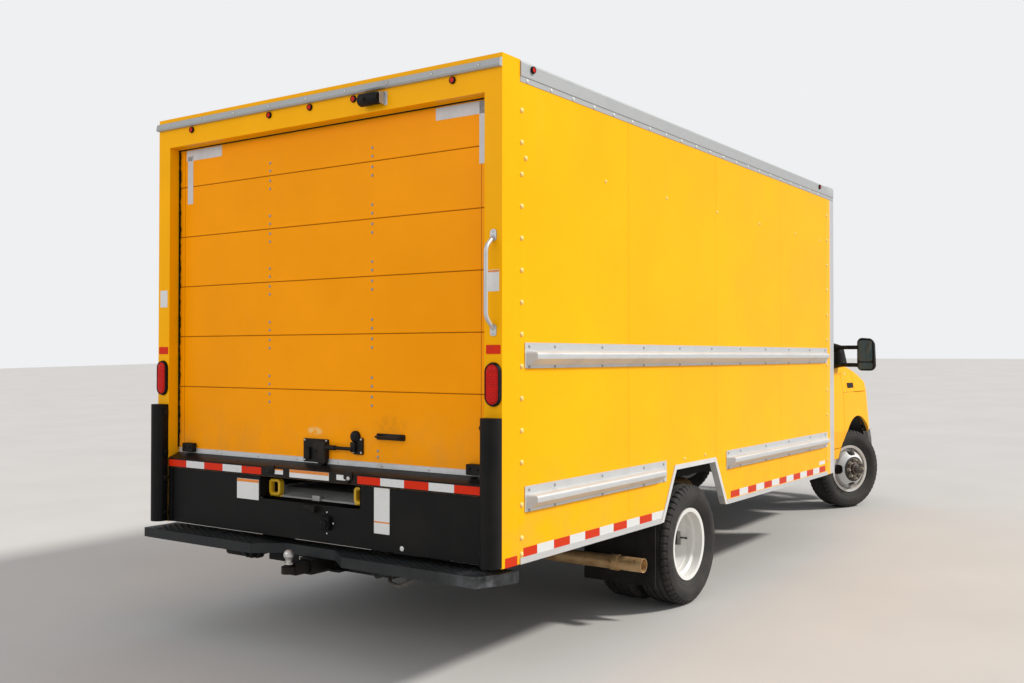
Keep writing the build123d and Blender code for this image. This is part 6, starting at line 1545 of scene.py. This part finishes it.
# The rail's section as (distance outside the wall, height)
RAIL_END = [(0.0006, 2.7130), (0.0020, 2.7130), (0.0020, 2.7360), (0.0060, 2.7400), (0.0060, 2.7990),
            (0.0020, 2.8080), (-0.0080, 2.8130), (-0.0460, 2.8136), (-0.0460, 2.8124), (0.0006, 2.8124)]
ends = []
for _, sign in SIDES:
    section = [(sign * (HALF + out), z) for out, z in RAIL_END]
    ends.append(rings_to_shape([[(x, y, z) for y, z in section] for x in (1.1145, BODY_FRONT - 0.014)]))
put("roof_rail_fronts", join(ends), roof_rail)
print("roof closed to", round(BODY_FRONT, 3))

# %% [markdown]
# The cab's small parts: a blank badge plate on each cowl side, door pulls, wipers and the rubber round
# the screen. The screen is a sheet curved both ways, so a short function gives its depth at any height
# and distance from the middle, and everything that lies on the glass asks it.

# %% Badge plates, pulls and screen rubber
def screen_x(y, z):
    """Depth of the screen: a parabola across the cab from the nose line to the bend line at its height."""
    t = (z - 1.323) / 0.67
    nose, bend, reach = -0.075 - 0.586 * t, -0.262 - 0.503 * t, 0.822 - 0.14 * t
    return FRONT_AXLE + nose - (nose - bend) * (y / reach) ** 2


lean = math.atan(0.175)
for side, sign in SIDES:
    out = np.array([0, sign * math.cos(lean), math.sin(lean)])
    facing = np.array([[-sign, 0, 0], [0, -sign * math.sin(lean), math.cos(lean)], out], float)
    badge = plate(0.170, 0.046, 0.006, 0.005, 0.0015)
    badge = onto(badge, facing, (FRONT_AXLE - 0.165, sign * 0.9405, 1.2125))
    put("badge_plate_" + side, badge, trim_black)
    dot = onto(dome(0.010, 0.004), facing, (FRONT_AXLE - 0.262, sign * 0.9225, 1.319))
    put("cowl_dot_" + side, dot, sticker_pale)
    pull = layers(rounded(0.150, 0.048, 0.018, 6), [(1, 1, -0.022), (1, 1, 0.001), (0.96, 0.9, 0.004)])
    pull = onto(pull, SIDEWARD[sign], (FRONT_AXLE - 1.245, sign * 0.9525, 1.266))
    put("door_pull_" + side, pull, trim_black, 40, "door_" + side)

low_z, high_z, low_y, high_y = 1.443, 1.953, 0.748, 0.622
across = np.linspace(-1, 1, 17)
edge = [(screen_x(y, low_z) + 0.002, y, low_z) for y in across * low_y]
edge += [(screen_x(y, high_z) + 0.002, y, high_z) for y in -across * high_y]
edge = np.array(edge + [edge[0]])
ON_GLASS = (0.75, 0, 0.66)
put("screen_rubber", bar(rounded(0.024, 0.010, 0.003), edge, ON_GLASS), seal_black, 50)
print("screen edge points", len(edge))

# %% Wipers
wipers = []
for pivot, tip in ((-0.10, 0.42), (0.56, -0.02)):
    y = np.linspace(pivot, tip, 8)
    z = np.linspace(1.468, 1.500, 8)
    arm = np.column_stack([screen_x(y, z) + 0.022, y, z])
    wipers.append(bar(rounded(0.010, 0.006, 0.002), arm, ON_GLASS))
    y = np.linspace(tip - 0.02, tip + (pivot - tip) * 0.95, 10)
    z = np.full(10, 1.505)
    blade = np.column_stack([screen_x(y, z) + 0.012, y, z])
    wipers.append(bar(rounded(0.008, 0.014, 0.003), blade, ON_GLASS))
put("wipers", join(wipers), trim_black, 40)
print("wiper arms and blades", len(wipers))

# %% [markdown]
# Inside the cab, seen through the glass. Seat cushions are crowned: each is a stack of rounded outlines
# that swells a little above its foot and closes in a low dome, with piping round its edge. The dash is
# one section carried across, and the steering wheel a ring with three spokes.

# %% Seats
def cushion(width, depth, thick):
    """Crowned pad: its outline swells to full width at a third of its thickness and closes in a dome."""
    steps = [(0.90, 0.90, 0.0), (0.97, 0.97, 0.10), (1.0, 1.0, 0.32), (1.0, 1.0, 0.55), (0.975, 0.97, 0.75),
             (0.90, 0.89, 0.90), (0.70, 0.68, 0.98), (0.40, 0.38, 1.03), (0.12, 0.12, 1.05)]
    return layers(rounded(width, depth, 0.06, 8), [(a, b, c * thick) for a, b, c in steps])


def piping(width, depth):
    """A thin round cord sewn along a cushion's outline."""
    line = rounded(width, depth, 0.06, 8)
    path = np.column_stack([line, np.zeros(len(line))])
    return bar(circle(0.005, 8), np.vstack([path, path[:1]]))


BACKREST = np.array([[0, -1, 0], [-0.12, 0, 0.993], [0.993, 0, 0.12]], float)
for side, sign in SIDES:
    y = sign * 0.39
    base = onto(cushion(0.44, 0.48, 0.125), SKYWARD, (FRONT_AXLE - 1.055, y, 0.992))
    back = onto(cushion(0.48, 0.56, 0.100), BACKREST, (FRONT_AXLE - 1.325, y, 1.365))
    base_seat = put("seat_base_" + side, base, seat_cloth, 60)
    back_seat = put("seat_back_" + side, back, seat_cloth, 60)
    seams = [onto(piping(0.428, 0.468), SKYWARD, (FRONT_AXLE - 1.055, y, 1.078))]
    seams += [onto(piping(0.466, 0.546), BACKREST, (FRONT_AXLE - 1.250, y, 1.374))]
    pedestal = layers(rounded(0.38, 0.40, 0.03), [(1, 1, 0), (1, 1, 0.170)])
    seams += [onto(pedestal, SKYWARD, (FRONT_AXLE - 1.055, y, 0.8215))]
    put("seat_frame_" + side, join(seams), cabin_vinyl, 40)
print("seats", len(SIDES))

# %% Dashboard and steering wheel
dash = [(-0.335, 1.092), (-0.335, 1.300), (-0.360, 1.320), (-0.470, 1.316), (-0.520, 1.300), (-0.548, 1.262),
        (-0.556, 1.190), (-0.520, 1.120), (-0.500, 1.092)]
dash = slab(np.array(dash) + (FRONT_AXLE, 0), -0.748, 0.748)
cowl = [(-0.420, 1.300), (-0.450, 1.338), (-0.540, 1.340), (-0.575, 1.300)]
cowl = slab(np.array(cowl) + (FRONT_AXLE, 0), 0.25, 0.53)
dash_piece = put("dashboard", join([dash, cowl]), cabin_vinyl, 40)
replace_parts(dash_piece, "cabin_fittings")
turn = np.linspace(0, 2 * np.pi, 14, endpoint=False)
rim = np.column_stack([0.186 + 0.0135 * np.cos(turn), 0.0135 * np.sin(turn)])
spokes = [[(0, 0, -0.004), (0.178 * np.cos(a), 0.178 * np.sin(a), 0.0)] for a in (0.0, np.pi, -np.pi / 2)]
spokes = [bar(rounded(0.030, 0.010, 0.004), spoke) for spoke in spokes]
hub = [(0.028, -0.30), (0.028, -0.02), (0.058, -0.018), (0.062, 0.006), (0.050, 0.016), (0.010, 0.020)]
hub = turned(hub, 24)
wheel = join([turned(rim, 40, loop=True), hub] + spokes)
AT_DRIVER = np.array([[0, -1, 0], [0.6, 0, 0.8], [-0.8, 0, 0.6]], float)
wheel = onto(wheel, AT_DRIVER, (FRONT_AXLE - 0.745, 0.39, 1.335))
put("steering_wheel", wheel, trim_black, 50)
print("spokes", len(spokes))

# %% [markdown]
# Under the truck: dampers beside the rear springs, and U-bolts that clamp the springs to the axle. They
# could be left to the CAD, but a view from below shows them; each is a circle carried along a path.

# %% Dampers and U-bolts
under = []
for side, sign in SIDES:
    foot = np.array([REAR_AXLE + 0.075, sign * 0.405, 0.330])
    head = np.array([REAR_AXLE + 0.215, sign * 0.395, 0.560])
    middle = foot + (head - foot) * 0.52
    under += [bar(circle(0.030, 16), [foot, middle]), bar(circle(0.024, 16), [middle, head])]
    for x in (-0.066, 0.066):
        path = ((0.478, 0.300), (0.478, 0.515), (0.562, 0.515), (0.562, 0.300))
        path = [(REAR_AXLE + x, sign * y, z) for y, z in path]
        under.append(bar(circle(0.008, 8), rounded_path(path, 0.02), (1, 0, 0)))
put("dampers", join(under), chassis_black, 50)
print("damper tubes and U-bolts", len(under))

# %% [markdown]
# Last, the pieces made and their triangles are counted. The visual model has to stay inside the CAD
# model's box, apart from a little for soft parts.

# %% Pieces made
print("pieces made", len(made), "with", sum(made.values()), "triangles")
